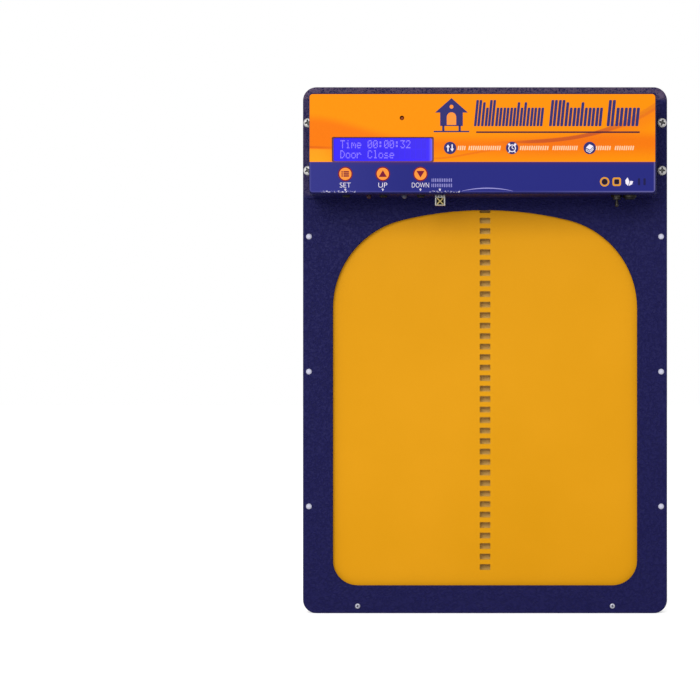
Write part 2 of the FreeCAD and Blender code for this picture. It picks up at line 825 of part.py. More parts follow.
def toggle_lever():
    """Bat-shaped lever with its ball, tilted to the front at rest."""
    length = 10.6
    outline = [(0.0, -1.2), (0.9, -0.9), (1.2, 0.0), (0.75, 1.2), (0.75, 5.0), (1.25, length - 1.3),
               (1.25, length - 0.6), (0.7, length), (0.0, length)]
    tilt = math.radians(lever_rest_tilt)
    direction = Vector(0, -math.sin(tilt), -math.cos(tilt))
    return turned(outline, (toggle_x, underside_row_y, lever_pivot_z), direction)


socket_tag_x = 1.5
socket_tag_top = floor_inside + 11.5


def dc_socket():
    """Round power inlet: a body above the underside and a threaded barrel through it."""
    y = underside_row_y
    barrel_low = box_bottom - 2.6
    body = rod(3.9, (socket_x, y, floor_inside), 9.0, Z)
    barrel = rod(socket_radius, (socket_x, y, barrel_low), floor_inside - barrel_low, Z)
    tags = [block(socket_x + side * socket_tag_x - 0.7, socket_x + side * socket_tag_x + 0.7,
                  y - 0.2, y + 0.2, floor_inside + 9.0, socket_tag_top) for side in (-1, 1)]
    return joined([body, barrel] + tags).cut(rod(2.3, (socket_x, y, barrel_low), 9.5, Z))


def dc_socket_nut():
    """Round knurled nut that clamps the inlet from below."""
    return tube(4.4, socket_radius, (socket_x, underside_row_y, box_bottom - 1.5), 1.5, Z)


def dc_centre_pin():
    """Contact pin in the middle of the inlet."""
    low = box_bottom - 1.8
    return rod(0.65, (socket_x, underside_row_y, low), box_bottom - 2.6 + 9.5 - low, Z)


# ---------------------------------------------------------------- electronics
main_board_x = (68.0, 108.0)
main_board_z = (box_bottom + 9.2, box_top - 3.2)
main_board_y = y_face_front - 7.0
board_front = main_board_y - board_thick
board_screw_shank = 1.1


def board_places():
    return [(x, z) for x in (main_board_x[0] + 3.2, main_board_x[1] - 3.2)
            for z in (main_board_z[0] + 3.2, main_board_z[1] - 3.2)]


def main_board():
    """Control board on the face plate, right of the motor."""
    body = block(main_board_x[0], main_board_x[1], board_front, main_board_y,
                 main_board_z[0], main_board_z[1])
    return pierced(body, through_holes(board_places(), board_screw_shank, board_front, main_board_y))


def board_standoffs():
    """Four spacer tubes under the control board."""
    return [tube(2.4, board_screw_shank, (x, main_board_y, z), y_face_front - main_board_y, Y)
            for x, z in board_places()]


def board_screws():
    length = board_thick + (y_face_front - main_board_y) + face_thick
    return screws(board_places(), pan_screw(2.0, 1.2, board_screw_shank, length), board_front)


def microcontroller():
    """Square chip with leads on all four sides."""
    x = 84.0
    z = axle_z + 9.0
    half = 5.0
    body = block(x - half, x + half, board_front - 1.5, board_front - 0.2, z - half, z + half)
    leads = []
    for k in range(8):
        shift = -3.5 + k
        leads.append(block(x + shift - 0.2, x + shift + 0.2, board_front - 0.5, board_front,
                           z - half - 1.0, z + half + 1.0))
        leads.append(block(x - half - 1.0, x + half + 1.0, board_front - 0.5, board_front,
                           z + shift - 0.2, z + shift + 0.2))
    return joined([body] + leads)


def motor_driver():
    """Motor driver chip with its heat-spreader tab."""
    body = block(72.0, 78.0, board_front - 2.0, board_front, axle_z - 12.0, axle_z - 4.0)
    tab = block(72.6, 77.4, board_front - 0.6, board_front, axle_z - 14.0, axle_z - 12.0)
    return joined([body, tab])


def capacitors():
    """Two round smoothing capacitors."""
    return [rod(3.1, (x, board_front - 8.0, axle_z - 6.0), 8.0, Y) for x in (94.0, 102.0)]


def clock_cell():
    """Coin cell that keeps the clock going, in its clip."""
    return rod(6.2, (99.0, board_front - 3.2, axle_z + 14.5), 3.2, Y)


plug_height = 3.5
plug_front = board_front - plug_height
lead_row = main_board_z[0] + 3.0
supply_row = lead_row + 7.2
lead_pitch = 2.4
battery_plug_x = 77.0
motor_plug_x = 85.0
display_plug = (80.0, main_board_z[1] - 4.2)


def board_sockets():
    """Plug sockets on the control board: battery, motor, supply and display."""
    places = [(battery_plug_x, lead_row, 1.7, 2.8), (motor_plug_x, lead_row, 3.1, 2.5),
              (socket_x, supply_row, 3.1, 2.5), (display_plug[0], display_plug[1], 2.2, 3.2)]
    return [block(x - half_x, x + half_x, plug_front, board_front, z - half_z, z + half_z)
            for x, z, half_x, half_z in places]


# ---------------------------------------------------------------- back-up battery
holder_x = (-112.0, -54.0)
cell_radius = 7.15
cell_pitch = 15.2
cell_length = 50.5
cell_y = y_face_front - 1.5 - cell_radius
holder_centre = label_z


def cell_heights():
    return [holder_centre + cell_pitch * (k - 1.5) for k in range(4)]


def battery_holder():
    """Open tray for four round cells side by side."""
    half = 2 * cell_pitch + 0.9
    x0, x1 = holder_x
    tray = block(x0, x1, y_face_front - 15.0, y_face_front, holder_centre - half, holder_centre + half)
    inner = block(x0 + 1.5, x1 - 1.5, y_face_front - 15.0, y_face_front - 1.5,
                  holder_centre - half + 1.2, holder_centre + half - 1.2)
    return tray.cut(inner)


def battery_cells():
    """Four AA cells, alternately turned end for end."""
    x0 = holder_x[0] + 3.2
    cells = []
    for k, z in enumerate(cell_heights()):
        can = rod(cell_radius, (x0, cell_y, z), cell_length - 1.0, X)
        if k % 2:
            can.translate(X)
            nub = rod(2.7, (x0, cell_y, z), 1.0, X)
        else:
            nub = rod(2.7, (x0 + cell_length - 1.0, cell_y, z), 1.0, X)
        cells.append(joined([can, nub]))
    return cells


contact_half = 3.5


def battery_contacts():
    """Spring-plate contacts on the holder's end walls, one at each end of each cell."""
    gap = 0.1
    ends = ((holder_x[0] + 1.5, holder_x[0] + 3.2 - gap),
            (holder_x[0] + 3.2 + cell_length + gap, holder_x[1] - 1.5))
    return [block(x0, x1, cell_y - contact_half, cell_y + contact_half, z - 4.5, z + 4.5)
            for x0, x1 in ends for z in cell_heights()]


# ---------------------------------------------------------------- wiring inside the box
wire_radius = 0.5
front_lane_y = -38.2
forward_lane_y = -33.5
ribbon_lanes = 3


def motor_wires():
    """Two leads from the motor's terminals down to the control board."""
    tag_x = gearbox_x + gearbox_length + motor_length + 3.0
    wires = []
    for side in (-1, 1):
        x = motor_plug_x + side * 1.5
        z = axle_z + side * motor_tag_rise
        wires.append(wire([(tag_x, axle_y, z), (x, axle_y, z), (x, forward_lane_y, lead_row),
                           (x, plug_front, lead_row)], wire_radius))
    return wires


def battery_wires():
    """Two leads from the first and last cells' contacts, past the front of the drive, to the board."""
    x0 = holder_x[1] - 2.8
    y0 = cell_y - contact_half
    low = lead_row - lead_pitch / 2
    high = lead_row + lead_pitch / 2
    top = cell_heights()[-1]
    first = [(x0, y0, low), (x0, front_lane_y, low), (battery_plug_x, front_lane_y, low),
             (battery_plug_x, plug_front, low)]
    last = [(x0, y0, top), (x0, forward_lane_y, top), (x0, forward_lane_y, high + 10.0),
            (x0 + 10.0, front_lane_y, high), (battery_plug_x, front_lane_y, high),
            (battery_plug_x, plug_front, high)]
    return [wire(first, wire_radius), wire(last, wire_radius)]


def socket_wires():
    """Two leads from the power inlet's tags up to the control board."""
    wires = []
    for side in (-1, 1):
        x = socket_x + side * socket_tag_x
        wires.append(wire([(x, underside_row_y, socket_tag_top), (x, underside_row_y, supply_row),
                           (x, plug_front, supply_row)], wire_radius))
    return wires


def display_ribbon():
    """Three-lane lead from the display board, over the drive, to the control board."""
    x0 = window_x + display_half - 9.0
    y0 = display_board_y + board_thick
    x1, z1 = display_plug
    lanes = [z1 + 1.4 * (k - 1) for k in range(ribbon_lanes)]
    return [wire([(x0, y0, z), (x0, forward_lane_y, z), (x1, forward_lane_y, z), (x1, plug_front, z)],
                 wire_radius) for z in lanes]


# ---------------------------------------------------------------- every piece, written out
def every_piece():
    pieces = {
        "face_plate": face_plate(),
        "rear_frame": rear_frame(),
        "left_guide_bar": guide_bar(-1),
        "right_guide_bar": guide_bar(1),
        "bottom_bar": bottom_bar(),
        "frame_rivets": frame_rivets(),
        "bottom_screws": bottom_screws(),
        "box_cover": box_cover(),
        "cover_screws": cover_screws(),
        "label_panel": label_panel(),
        "door_panel": door_panel(),
        "door_channel": door_channel(),
        "drive_sprocket": drive_sprocket(),
        "output_shaft": output_shaft(),
        "grub_screw": grub_screw(),
        "gearbox": gearbox(),
        "motor": motor(),
        "motor_bracket": motor_bracket(),
        "motor_screws": motor_screws(),
        "bearing_bracket": bearing_bracket(),
        "bearing_bush": bearing_bush(),
        "bracket_screws": bracket_screws(),
        "lcd_bezel": lcd_bezel(),
        "lcd_glass": lcd_glass(),
        "display_board": display_board(),
        "display_standoffs": display_standoffs(),
        "light_sensor": light_sensor(),
        "button_board": button_board(),
        "push_switches": push_switches(),
        "status_led": lamp(red_led_x),
        "motor_led": lamp(clear_led_x),
        "ir_shield": ir_shield(),
        "ir_lens": ir_lens(),
        "ir_leads": ir_leads(),
        "toggle_body": toggle_body(),
        "toggle_bushing": toggle_bushing(),
        "toggle_nut": toggle_nut(),
        "toggle_lever": toggle_lever(),
        "dc_socket": dc_socket(),
        "dc_socket_nut": dc_socket_nut(),
        "dc_centre_pin": dc_centre_pin(),
        "main_board": main_board(),
        "board_standoffs": board_standoffs(),
        "board_screws": board_screws(),
        "microcontroller": microcontroller(),
        "motor_driver": motor_driver(),
        "capacitors": capacitors(),
        "clock_cell": clock_cell(),
        "board_sockets": board_sockets(),
        "battery_holder": battery_holder(),
        "battery_cells": battery_cells(),
        "battery_contacts": battery_contacts(),
        "motor_wires": motor_wires(),
        "battery_wires": battery_wires(),
        "socket_wires": socket_wires(),
        "display_ribbon": display_ribbon(),
    }
    for name in button_x:
        pieces[name] = button_cap(name)
    return pieces


os.makedirs("parts", exist_ok=True)
for node, shape in every_piece().items():
    if isinstance(shape, list):
        shape = Part.makeCompound(shape)
    shape.exportStep("parts/" + node + ".step")
print("axle at y", round(axle_y, 3), "z", round(axle_z, 3), "pitch radius", round(pitch_radius, 4))
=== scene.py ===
import math

import bmesh
import bpy
import numpy as np
from bpy.props import FloatProperty, FloatVectorProperty, PointerProperty, StringProperty
from mathutils import Matrix, Vector


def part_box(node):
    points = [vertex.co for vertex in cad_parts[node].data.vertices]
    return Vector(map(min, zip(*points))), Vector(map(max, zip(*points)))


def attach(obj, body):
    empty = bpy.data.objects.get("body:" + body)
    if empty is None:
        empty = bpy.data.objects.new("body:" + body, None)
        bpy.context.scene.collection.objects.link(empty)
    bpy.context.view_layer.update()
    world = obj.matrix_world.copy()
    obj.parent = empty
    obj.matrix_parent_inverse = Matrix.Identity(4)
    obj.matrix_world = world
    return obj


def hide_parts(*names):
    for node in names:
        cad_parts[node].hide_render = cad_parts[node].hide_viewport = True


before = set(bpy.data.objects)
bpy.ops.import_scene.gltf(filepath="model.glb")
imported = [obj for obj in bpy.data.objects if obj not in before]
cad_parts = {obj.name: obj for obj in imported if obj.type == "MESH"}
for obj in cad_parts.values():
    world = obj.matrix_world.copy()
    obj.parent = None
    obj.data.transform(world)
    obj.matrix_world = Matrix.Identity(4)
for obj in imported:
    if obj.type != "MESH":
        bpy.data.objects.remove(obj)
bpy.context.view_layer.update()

bl_info = {
    "name": "Automatic Coop Door",
    "version": (1, 0, 0),
    "blender": (4, 5, 0),
    "location": "3D View > Sidebar > Coop Door",
    "description": "Finishes, label, display and studio for the automatic coop door",
    "category": "Object",
}

MM = 0.001

# ------------------------------------------------------------------ places read from the frame
PLATE_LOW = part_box("face_plate")[0]
LABEL_LOW, LABEL_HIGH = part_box("label_panel")
GLASS_LOW, GLASS_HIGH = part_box("lcd_glass")
BEZEL_LOW, BEZEL_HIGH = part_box("lcd_bezel")
COVER_LOW, COVER_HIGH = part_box("box_cover")
SENSOR_LOW, SENSOR_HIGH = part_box("light_sensor")
BUTTON_NODES = ("set_button", "up_button", "down_button")
WINDOW_SIZE = (66.7 * MM, 16.3 * MM)
SENSOR_HOLE_RADIUS = 1.5 * MM
LABEL_WIDTH = LABEL_HIGH.x - LABEL_LOW.x
LABEL_HEIGHT = LABEL_HIGH.z - LABEL_LOW.z
FILM_FACE = LABEL_LOW.y + 0.1 * MM
FILM_BACK = LABEL_HIGH.y
INK_THICKNESS = 0.03 * MM
PAINT_SHARE = 0.63


def linear(red, green, blue):
    """Scene-linear colour of a display colour given as 0 to 255."""
    shares = np.array((red, green, blue)) / 255.0
    low = shares / 12.92
    high = ((shares + 0.055) / 1.055) ** 2.4
    return tuple(float(value) for value in np.where(shares <= 0.04045, low, high))


def paint(red, green, blue):
    """Base colour of a surface: a display colour taken down by the strength of the studio's light."""
    return tuple(PAINT_SHARE * value for value in linear(red, green, blue))


def shade(colour, factor, lift=0.0):
    """A colour times a factor, raised by a little and held at or below full strength."""
    return tuple(min(1.0, channel * factor + lift) for channel in colour)


def middle_x(node):
    """Middle of a node's box from left to right."""
    low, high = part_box(node)
    return (low.x + high.x) / 2


# ------------------------------------------------------------------ shader expressions
class Value:
    """A shader socket that works in Python expressions: each operator adds one Math node."""

    def __init__(self, shader, socket):
        self.shader = shader
        self.socket = socket

    def __add__(self, other):
        return self.shader.math("ADD", self, other)

    def __sub__(self, other):
        return self.shader.math("SUBTRACT", self, other)

    def __rsub__(self, other):
        return self.shader.math("SUBTRACT", other, self)

    def __mul__(self, other):
        return self.shader.math("MULTIPLY", self, other)

    def __truediv__(self, other):
        return self.shader.math("DIVIDE", self, other)

    def __pow__(self, other):
        return self.shader.math("POWER", self, other)

    def __lt__(self, other):
        return self.shader.math("LESS_THAN", self, other)

    def __abs__(self):
        return self.shader.math("ABSOLUTE", self)

    __radd__ = __add__
    __rmul__ = __mul__


class Shader:
    """One material being built: a node tree with a Principled surface."""

    def __init__(self, name):
        self.material = bpy.data.materials.new(name)
        self.material.use_nodes = True
        self.tree = self.material.node_tree
        self.surface = self.tree.nodes["Principled BSDF"]

    def node(self, kind, settings=(), inputs=(), output=0):
        """Adds a node: its settings first, then the values or links of its sockets."""
        made = self.tree.nodes.new("ShaderNode" + kind)
        for key, value in dict(settings).items():
            setattr(made, key, value)
        for key, value in dict(inputs).items():
            self.feed(made.inputs[key], value)
        return Value(self, made.outputs[output])

    def feed(self, socket, value):
        if isinstance(value, Value):
            self.tree.links.new(value.socket, socket)
        elif socket.type == "RGBA" and len(value) == 3:
            socket.default_value = (*value, 1.0)
        else:
            socket.default_value = value

    def math(self, operation, first, second=0.0):
        return self.node("Math", {"operation": operation}, {0: first, 1: second})

    def smooth(self, value, low, high):
        """Smooth step from 0 at low to 1 at high."""
        return self.node("MapRange", {"interpolation_type": "SMOOTHSTEP"},
                         {"Value": value, "From Min": low, "From Max": high})

    def mix(self, share, first, second):
        """Colour blend: first where share is 0, second where it is 1."""
        return self.node("Mix", {"data_type": "RGBA"}, {0: share, 6: first, 7: second}, 2)

    def place(self, stretch=(1.0, 1.0, 1.0)):
        """Object coordinates in metres, stretched."""
        spot = self.node("TexCoord", output=3)
        return self.node("Mapping", (), {"Vector": spot, "Scale": stretch})

    def axes(self, vector):
        """The x, y and z values of a vector."""
        split = self.node("SeparateXYZ", (), {"Vector": vector})
        sockets = split.socket.node.outputs
        return [Value(self, socket) for socket in sockets]

    def noise(self, vector, scale, detail=2.0, roughness=0.5, distortion=0.0):
        return self.node("TexNoise", (), {"Vector": vector, "Scale": scale, "Detail": detail,
                                          "Roughness": roughness, "Distortion": distortion})

    def bump(self, height, depth, strength=1.0):
        return self.node("Bump", (), {"Height": height, "Distance": depth, "Strength": strength})

    def done(self, sockets):
        """Sets or links the surface's own sockets and returns the material."""
        for key, value in sockets.items():
            self.feed(self.surface.inputs[key], value)
        return self.material


# ------------------------------------------------------------------ finishes
def wrinkle_coat(name, settings):
    """Wrinkled powder coat.

    The folds are ridges of a warped noise, highest where the noise crosses its middle value, over a
    slow roll and under fine pimples. Crowns are smoother than the valleys, and the colour carries a
    painted highlight on the crowns and painted shade in the valleys. On the front, a pale painted
    highlight lies in short worms above the cover and, more thinly, at its left side, standing in for
    light from above catching the folds.
    """
    s = Shader(name)
    spot = s.place()
    warped = s.noise(spot, settings.grain, 2.0, 0.55, 0.6)
    fold = s.smooth(abs(warped - 0.5), 0.16, 0.0)
    roll = s.noise(spot, settings.grain * 0.3, 2.0, 0.5, 0.2)
    fine = s.noise(spot, settings.grain * 3.0, 2.0, 0.6)
    cloud = s.noise(spot, 14.0, 3.0, 0.5)
    base = tuple(settings.navy)
    # Painted light and shade: the fold crowns are made lighter and the valleys darker.
    colour = s.mix(fold * 0.7 + fine * 0.3, shade(base, 0.80), shade(base, 1.20, 0.0006))
    colour = s.mix(cloud * 0.5, colour, base)

    x, y, z = s.axes(spot)
    # Painted highlight: pale worms above the cover and at its left side stand in for light from above on the
    # folds.
    worms = s.smooth(s.noise(spot, settings.grain * 4.2, 1.0, 0.6) + fold * 0.22, 0.50, 0.66)
    above_cover = s.smooth(z, COVER_HIGH.z - 1.0 * MM, COVER_HIGH.z + 1.0 * MM)
    beside_cover = s.smooth(x, LABEL_LOW.x + 1.0 * MM, LABEL_LOW.x - 1.0 * MM)
    beside_cover = beside_cover * s.smooth(z, COVER_LOW.z, COVER_LOW.z + 4.0 * MM)
    in_front = s.smooth(y, -3.0 * MM, -6.0 * MM)
    in_front = in_front * s.smooth(y, PLATE_LOW.y - 4.0 * MM, PLATE_LOW.y - 2.0 * MM)
    painted_rim_highlight = s.math("MAXIMUM", above_cover * 0.46, beside_cover * 0.18) * in_front
    colour = s.mix(worms * painted_rim_highlight, colour, paint(122, 102, 118))
    height = fold * 0.8 + roll * 0.5 + fine * 0.25
    return s.done({"Base Color": colour, "Roughness": 0.52 - fold * 0.14 + cloud * 0.08,
                   "Specular IOR Level": 0.06, "Normal": s.bump(height, settings.grain_depth)})


def satin_coat(name, base):
    """Smooth coat with a faint orange peel, slow clouding and a few fine upright rubs."""
    s = Shader(name)
    spot = s.place()
    cloud = s.noise(spot, 9.0, 3.0, 0.55)
    peel = s.noise(spot, 900.0)
    streak = s.noise(s.place((1.0, 1.0, 0.05)), 240.0, 4.0, 0.65)
    rub = s.smooth(streak, 0.62, 0.80)
    colour = s.mix(cloud, shade(base, 0.90), shade(base, 1.06, 0.004))
    return s.done({"Base Color": colour, "Roughness": 0.38 + cloud * 0.06 + rub * 0.10,
                   "Specular IOR Level": 0.03, "Normal": s.bump(peel + rub * 0.12, 0.04 * MM, 0.6)})


def channel_coat(name, coat):
    """The door's coat outside the channel, and a paler brown primer inside it."""
    s = Shader(name)
    spot = s.place()
    x, y, _ = s.axes(spot)
    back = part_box("door_channel")[1].y
    between_walls = s.smooth(abs(x), 5.9 * MM, 5.6 * MM)
    inside = between_walls * s.smooth(y, back - 0.3 * MM, back - 0.7 * MM)
    cloud = s.noise(spot, 30.0, 3.0, 0.55)
    outside = s.mix(cloud, coat, shade(coat, 0.9))
    primer = s.mix(cloud, (0.58, 0.355, 0.095), (0.54, 0.33, 0.088))
    peel = s.noise(spot, 900.0)
    return s.done({"Base Color": s.mix(inside, outside, primer), "Roughness": 0.42 + cloud * 0.1,
                   "Specular IOR Level": 0.04, "Normal": s.bump(peel, 0.04 * MM, 0.6)})


def bare_metal(name, base, rough, scale, stretch=(1.0, 1.0, 1.0), tarnish=0.3, metallic=1.0, paint_recess_shade=False):
    """Bare or plated metal: drawn lines along the long way, soft tarnish and small pits.

    If asked to, it paints shade into the driver's hollow, as deep as the mesh's own "sunk" attribute (0 to 1)
    says.
    """
    s = Shader(name)
    lines = s.noise(s.place(stretch), scale, 4.0, 0.7)
    spot = s.place()
    stain = s.noise(spot, 160.0, 4.0, 0.6)
    pits = s.smooth(s.noise(spot, 1500.0), 0.68, 0.76)
    colour = s.mix(s.smooth(stain, 0.35, 0.75), base, shade(base, 1.0 - tarnish))
    if paint_recess_shade:
        # Painted shade: the driver's cross and bowl darken with how deep they sink.
        sunk = s.node("Attribute", {"attribute_name": "sunk"}, output=2)
        colour = s.mix(sunk * 0.92, colour, shade(base, 0.06))
    return s.done({"Base Color": colour, "Metallic": metallic, "Roughness": rough + stain * 0.16 + pits * 0.2,
                   "Normal": s.bump(lines - pits * 0.5, 0.02 * MM, 0.5)})


def moulded(name, base, rough=0.5, scale=1300.0, shine=0.3):
    """Moulded plastic: spark-eroded grain, slight shade changes and softened shine."""
    s = Shader(name)
    spot = s.place()
    grain = s.noise(spot, scale, 3.0, 0.6)
    colour = s.mix(s.noise(spot, 60.0, 3.0), base, shade(base, 1.25, 0.004))
    return s.done({"Base Color": colour, "Roughness": rough + grain * 0.12, "Specular IOR Level": shine,
                   "Normal": s.bump(grain, 0.02 * MM, 0.7)})


def lens(name, base, glow=0.0, glow_colour=(1.0, 1.0, 1.0)):
    """Glossy moulded lens with faint flow lines, lit from inside by as much as glow says."""
    s = Shader(name)
    flow = s.noise(s.place(), 500.0)
    colour = s.mix(flow, base, shade(base, 1.3, 0.004))
    return s.done({"Base Color": colour, "Roughness": 0.2 + flow * 0.05,
                   "Specular IOR Level": 0.12, "Coat Weight": 0.05, "Coat Roughness": 0.1,
                   "Emission Color": glow_colour, "Emission Strength": glow})


def screen_tin(name):
    """Tin plate of the receiver's screen: dull folds and tabs, a painted black shadow round the window,
    yellowed bars.
    """
    s = Shader(name)
    spot = s.place()
    x, _, z = s.axes(spot)
    low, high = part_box("ir_shield")
    window_z = low.z + 2.75 * MM
    stain = s.noise(spot, 900.0, 3.0, 0.6)
    from_middle = abs(x - (low.x + high.x) / 2)
    from_window = abs(z - window_z)
    # Painted shadow: a near-black band round the window, where the frame meets the opening.
    edge = s.smooth(from_middle, 2.75 * MM, 2.6 * MM) * s.smooth(from_window, 2.45 * MM, 2.3 * MM)
    bars = s.smooth(from_middle, 2.3 * MM, 2.15 * MM) * s.smooth(from_window, 2.2 * MM, 2.05 * MM)
    plate = s.mix(stain, (0.19, 0.185, 0.175), (0.14, 0.135, 0.125))
    colour = s.mix(bars, s.mix(edge, plate, (0.02, 0.018, 0.012)), (0.13, 0.10, 0.035))
    return s.done({"Base Color": colour, "Metallic": 0.8, "Roughness": 0.36 + stain * 0.14,
                   "Normal": s.bump(stain, 0.02 * MM, 0.5)})


def circuit(name):
    """Solder-masked board: etched tracks under a green mask, with a woven glass ground."""
    s = Shader(name)
    blocks = s.node("TexVoronoi", {"feature": "DISTANCE_TO_EDGE"}, {"Vector": s.place(), "Scale": 260.0})
    tracks = s.smooth(blocks, 0.04, 0.08)
    weave = s.noise(s.place((1.0, 1.0, 6.0)), 900.0)
    ground = s.mix(weave, paint(8, 62, 36), paint(14, 78, 46))
    colour = s.mix(tracks, paint(30, 112, 62), ground)
    return s.done({"Base Color": colour, "Roughness": 0.34 + weave * 0.1,
                   "Normal": s.bump(1.0 - tracks, 0.03 * MM, 0.6)})


def backlit_glass(name, settings):
    """Backlit display glass: a blue field, paler towards its lamp at the right end, with a grid of
    slightly darker character cells, two rows of sixteen."""
    s = Shader(name)
    x, _, z = s.axes(s.place())
    across = (x - GLASS_LOW.x) / (GLASS_HIGH.x - GLASS_LOW.x)
    lamp_end = s.smooth(across, 0.925, 0.965)
    glow = s.smooth(across, 0.5, 0.93)
    drift = s.noise(s.place(), 70.0)
    half_columns = DISPLAY_COLUMNS / 2
    column = (x - (middle_x("lcd_glass") - half_columns * CHARACTER_PITCH)) / CHARACTER_PITCH
    within_rows = abs(column - half_columns) < half_columns
    inside_x = s.smooth(abs(s.math("FRACT", column) - 0.5), 0.47, 0.40) * within_rows
    row = (z - DISPLAY_MIDDLE) / ROW_PITCH
    inside_z = s.smooth(abs(abs(row) - 0.5), 0.46, 0.40)
    field = s.mix(drift * 0.3 + glow * 0.4, tuple(settings.blue), linear(66, 36, 255))
    field = s.mix(inside_x * inside_z * 0.20, field, linear(50, 30, 190))
    colour = s.mix(lamp_end * 0.5, field, linear(150, 134, 240))
    return s.done({"Base Color": paint(6, 4, 40), "Roughness": 0.22 + drift * 0.04,
                   "Specular IOR Level": 0.05, "Emission Color": colour,
                   "Emission Strength": settings.brightness})


def plain_ink(name, base):
    """Screen-printed ink: slight edge-to-edge density change and a fine mesh texture."""
    s = Shader(name)
    spot = s.place()
    density = s.noise(spot, 120.0, 3.0, 0.6)
    mesh_lines = s.noise(spot, 2600.0, 1.0)
    colour = s.mix(density, base, shade(base, 1.12, 0.0008))
    return s.done({"Base Color": colour, "Roughness": 0.42 + density * 0.08, "Specular IOR Level": 0.05,
                   "Normal": s.bump(mesh_lines, 0.008 * MM, 0.5)})


def printed_film(name, settings):
    """Label film: an orange field with tapering swooshes over a violet band, under satin gloss.

    u runs 0 to 1 from left to right and v from the bottom to the top of the film. The main swoosh
    follows v = 0.51 + 0.365 (2u - 1)^3.2 in the right half, thin and dark at first, then wide and pale.
    """
    s = Shader(name)
    x, _, z = s.axes(s.place())
    u = (x - LABEL_LOW.x) / LABEL_WIDTH
    v = (z - LABEL_LOW.z) / LABEL_HEIGHT
    roll = s.noise(s.place(), 16.0)
    ramp = s.math("MAXIMUM", u * 2.0 - 1.0, 0.0)
    from_swoosh = v - (0.51 + 0.365 * ramp ** 3.2)

    # Warm shade under a hill that falls away from the left edge.
    hill = 0.80 - 0.22 * s.smooth(u, 0.0, 0.30) + 0.05 * s.smooth(u, 0.45, 1.0)
    under_hill = s.smooth(v - hill, 0.02, -0.10) * s.smooth(v, 0.30, 0.50)
    field = s.mix(under_hill * 0.9, tuple(settings.orange), tuple(settings.deep_orange))
    field = s.mix(roll * 0.10, field, paint(225, 130, 8))

    # Main swoosh: a shadow that fades out beneath it, then the ribbon itself.
    shadow = s.smooth(from_swoosh, 0.004, -0.012) * s.smooth(from_swoosh, -0.26, -0.02)
    field = s.mix(shadow * s.smooth(u, 0.45, 0.75) * 0.35, field, paint(214, 92, 20))
    half = 0.009 + 0.013 * s.smooth(u, 0.52, 0.70) + 0.022 * s.smooth(u, 0.80, 1.0)
    ribbon = s.smooth(abs(from_swoosh) / half, 1.15, 0.60) * s.smooth(u, 0.52, 0.66)
    strength = 0.82 - 0.50 * s.smooth(u, 0.82, 0.95)
    field = s.mix(ribbon * strength, field, paint(172, 70, 34))

    # Hairline swoosh low in the middle, and a third one that drops in from the left edge.
    from_hairline = abs(v - (0.345 + 0.09 * s.smooth(u, 0.36, 0.56)))
    hairline = s.smooth(from_hairline, 0.016, 0.003) * s.smooth(u, 0.33, 0.38) * s.smooth(u, 0.62, 0.48)
    field = s.mix(hairline * 0.45, field, paint(200, 84, 22))
    from_drop = v - (0.459 - 0.10 * u)
    below_drop = s.smooth(from_drop, 0.0, -0.03) * s.smooth(u, 0.12, 0.02)
    field = s.mix(below_drop * 0.55, field, paint(250, 158, 30))
    drop_line = s.smooth(abs(from_drop), 0.020, 0.004) * s.smooth(u, 0.14, 0.0)
    field = s.mix(drop_line * 0.6, field, paint(192, 78, 18))

    band = s.smooth(v, settings.band_share + 0.004, settings.band_share - 0.004)
    violet = s.mix(s.smooth(v, 0.312, 0.265), paint(54, 35, 102), paint(34, 37, 112))
    violet = s.mix(s.smooth(u, 0.30, 0.0) * 0.8, violet, paint(48, 49, 122))
    colour = s.mix(band, field, violet)

    # Painted highlight along the band's outer border, stronger towards the right, and two chipped places on
    # its lower edge.
    edge_u = s.smooth(abs(u - 0.5), 0.4945, 0.4975)
    edge_v = s.smooth(abs(v - 0.5), 0.482, 0.492)
    painted_band_highlight = s.math("MAXIMUM", edge_u, edge_v) * band
    colour = s.mix(painted_band_highlight * (0.04 + s.smooth(u, 0.6, 1.0) * 0.14), colour, paint(178, 170, 215))
    chips = s.noise(s.place((1.0, 1.0, 2.0)), 800.0, 2.0, 0.6)
    worn = s.smooth(abs(u - 0.085), 0.055, 0.045) + s.smooth(abs(u - 0.392), 0.048, 0.040)
    scuff = s.smooth(chips, 0.54, 0.60) * s.smooth(v, 0.020, 0.010) * worn
    colour = s.mix(scuff * 0.85, colour, paint(226, 222, 240))
    wave = s.noise(s.place(), 55.0)
    return s.done({"Base Color": colour, "Roughness": 0.36 + roll * 0.08 + scuff * 0.25,
                   "Specular IOR Level": 0.02, "Normal": s.bump(wave, 0.06 * MM, 0.3)})


def floor_paint(name):
    """Matt white sweep with the faintest mottling, a touch self-lit so that it runs out to white."""
    s = Shader(name)
    mottling = s.noise(s.place(), 3.0, 3.0)
    colour = s.mix(mottling, (0.60, 0.60, 0.60), (0.63, 0.63, 0.63))
    return s.done({"Base Color": colour, "Roughness": 0.9, "Specular IOR Level": 0.0,
                   "Emission Color": (1.0, 1.0, 1.0), "Emission Strength": 0.44})


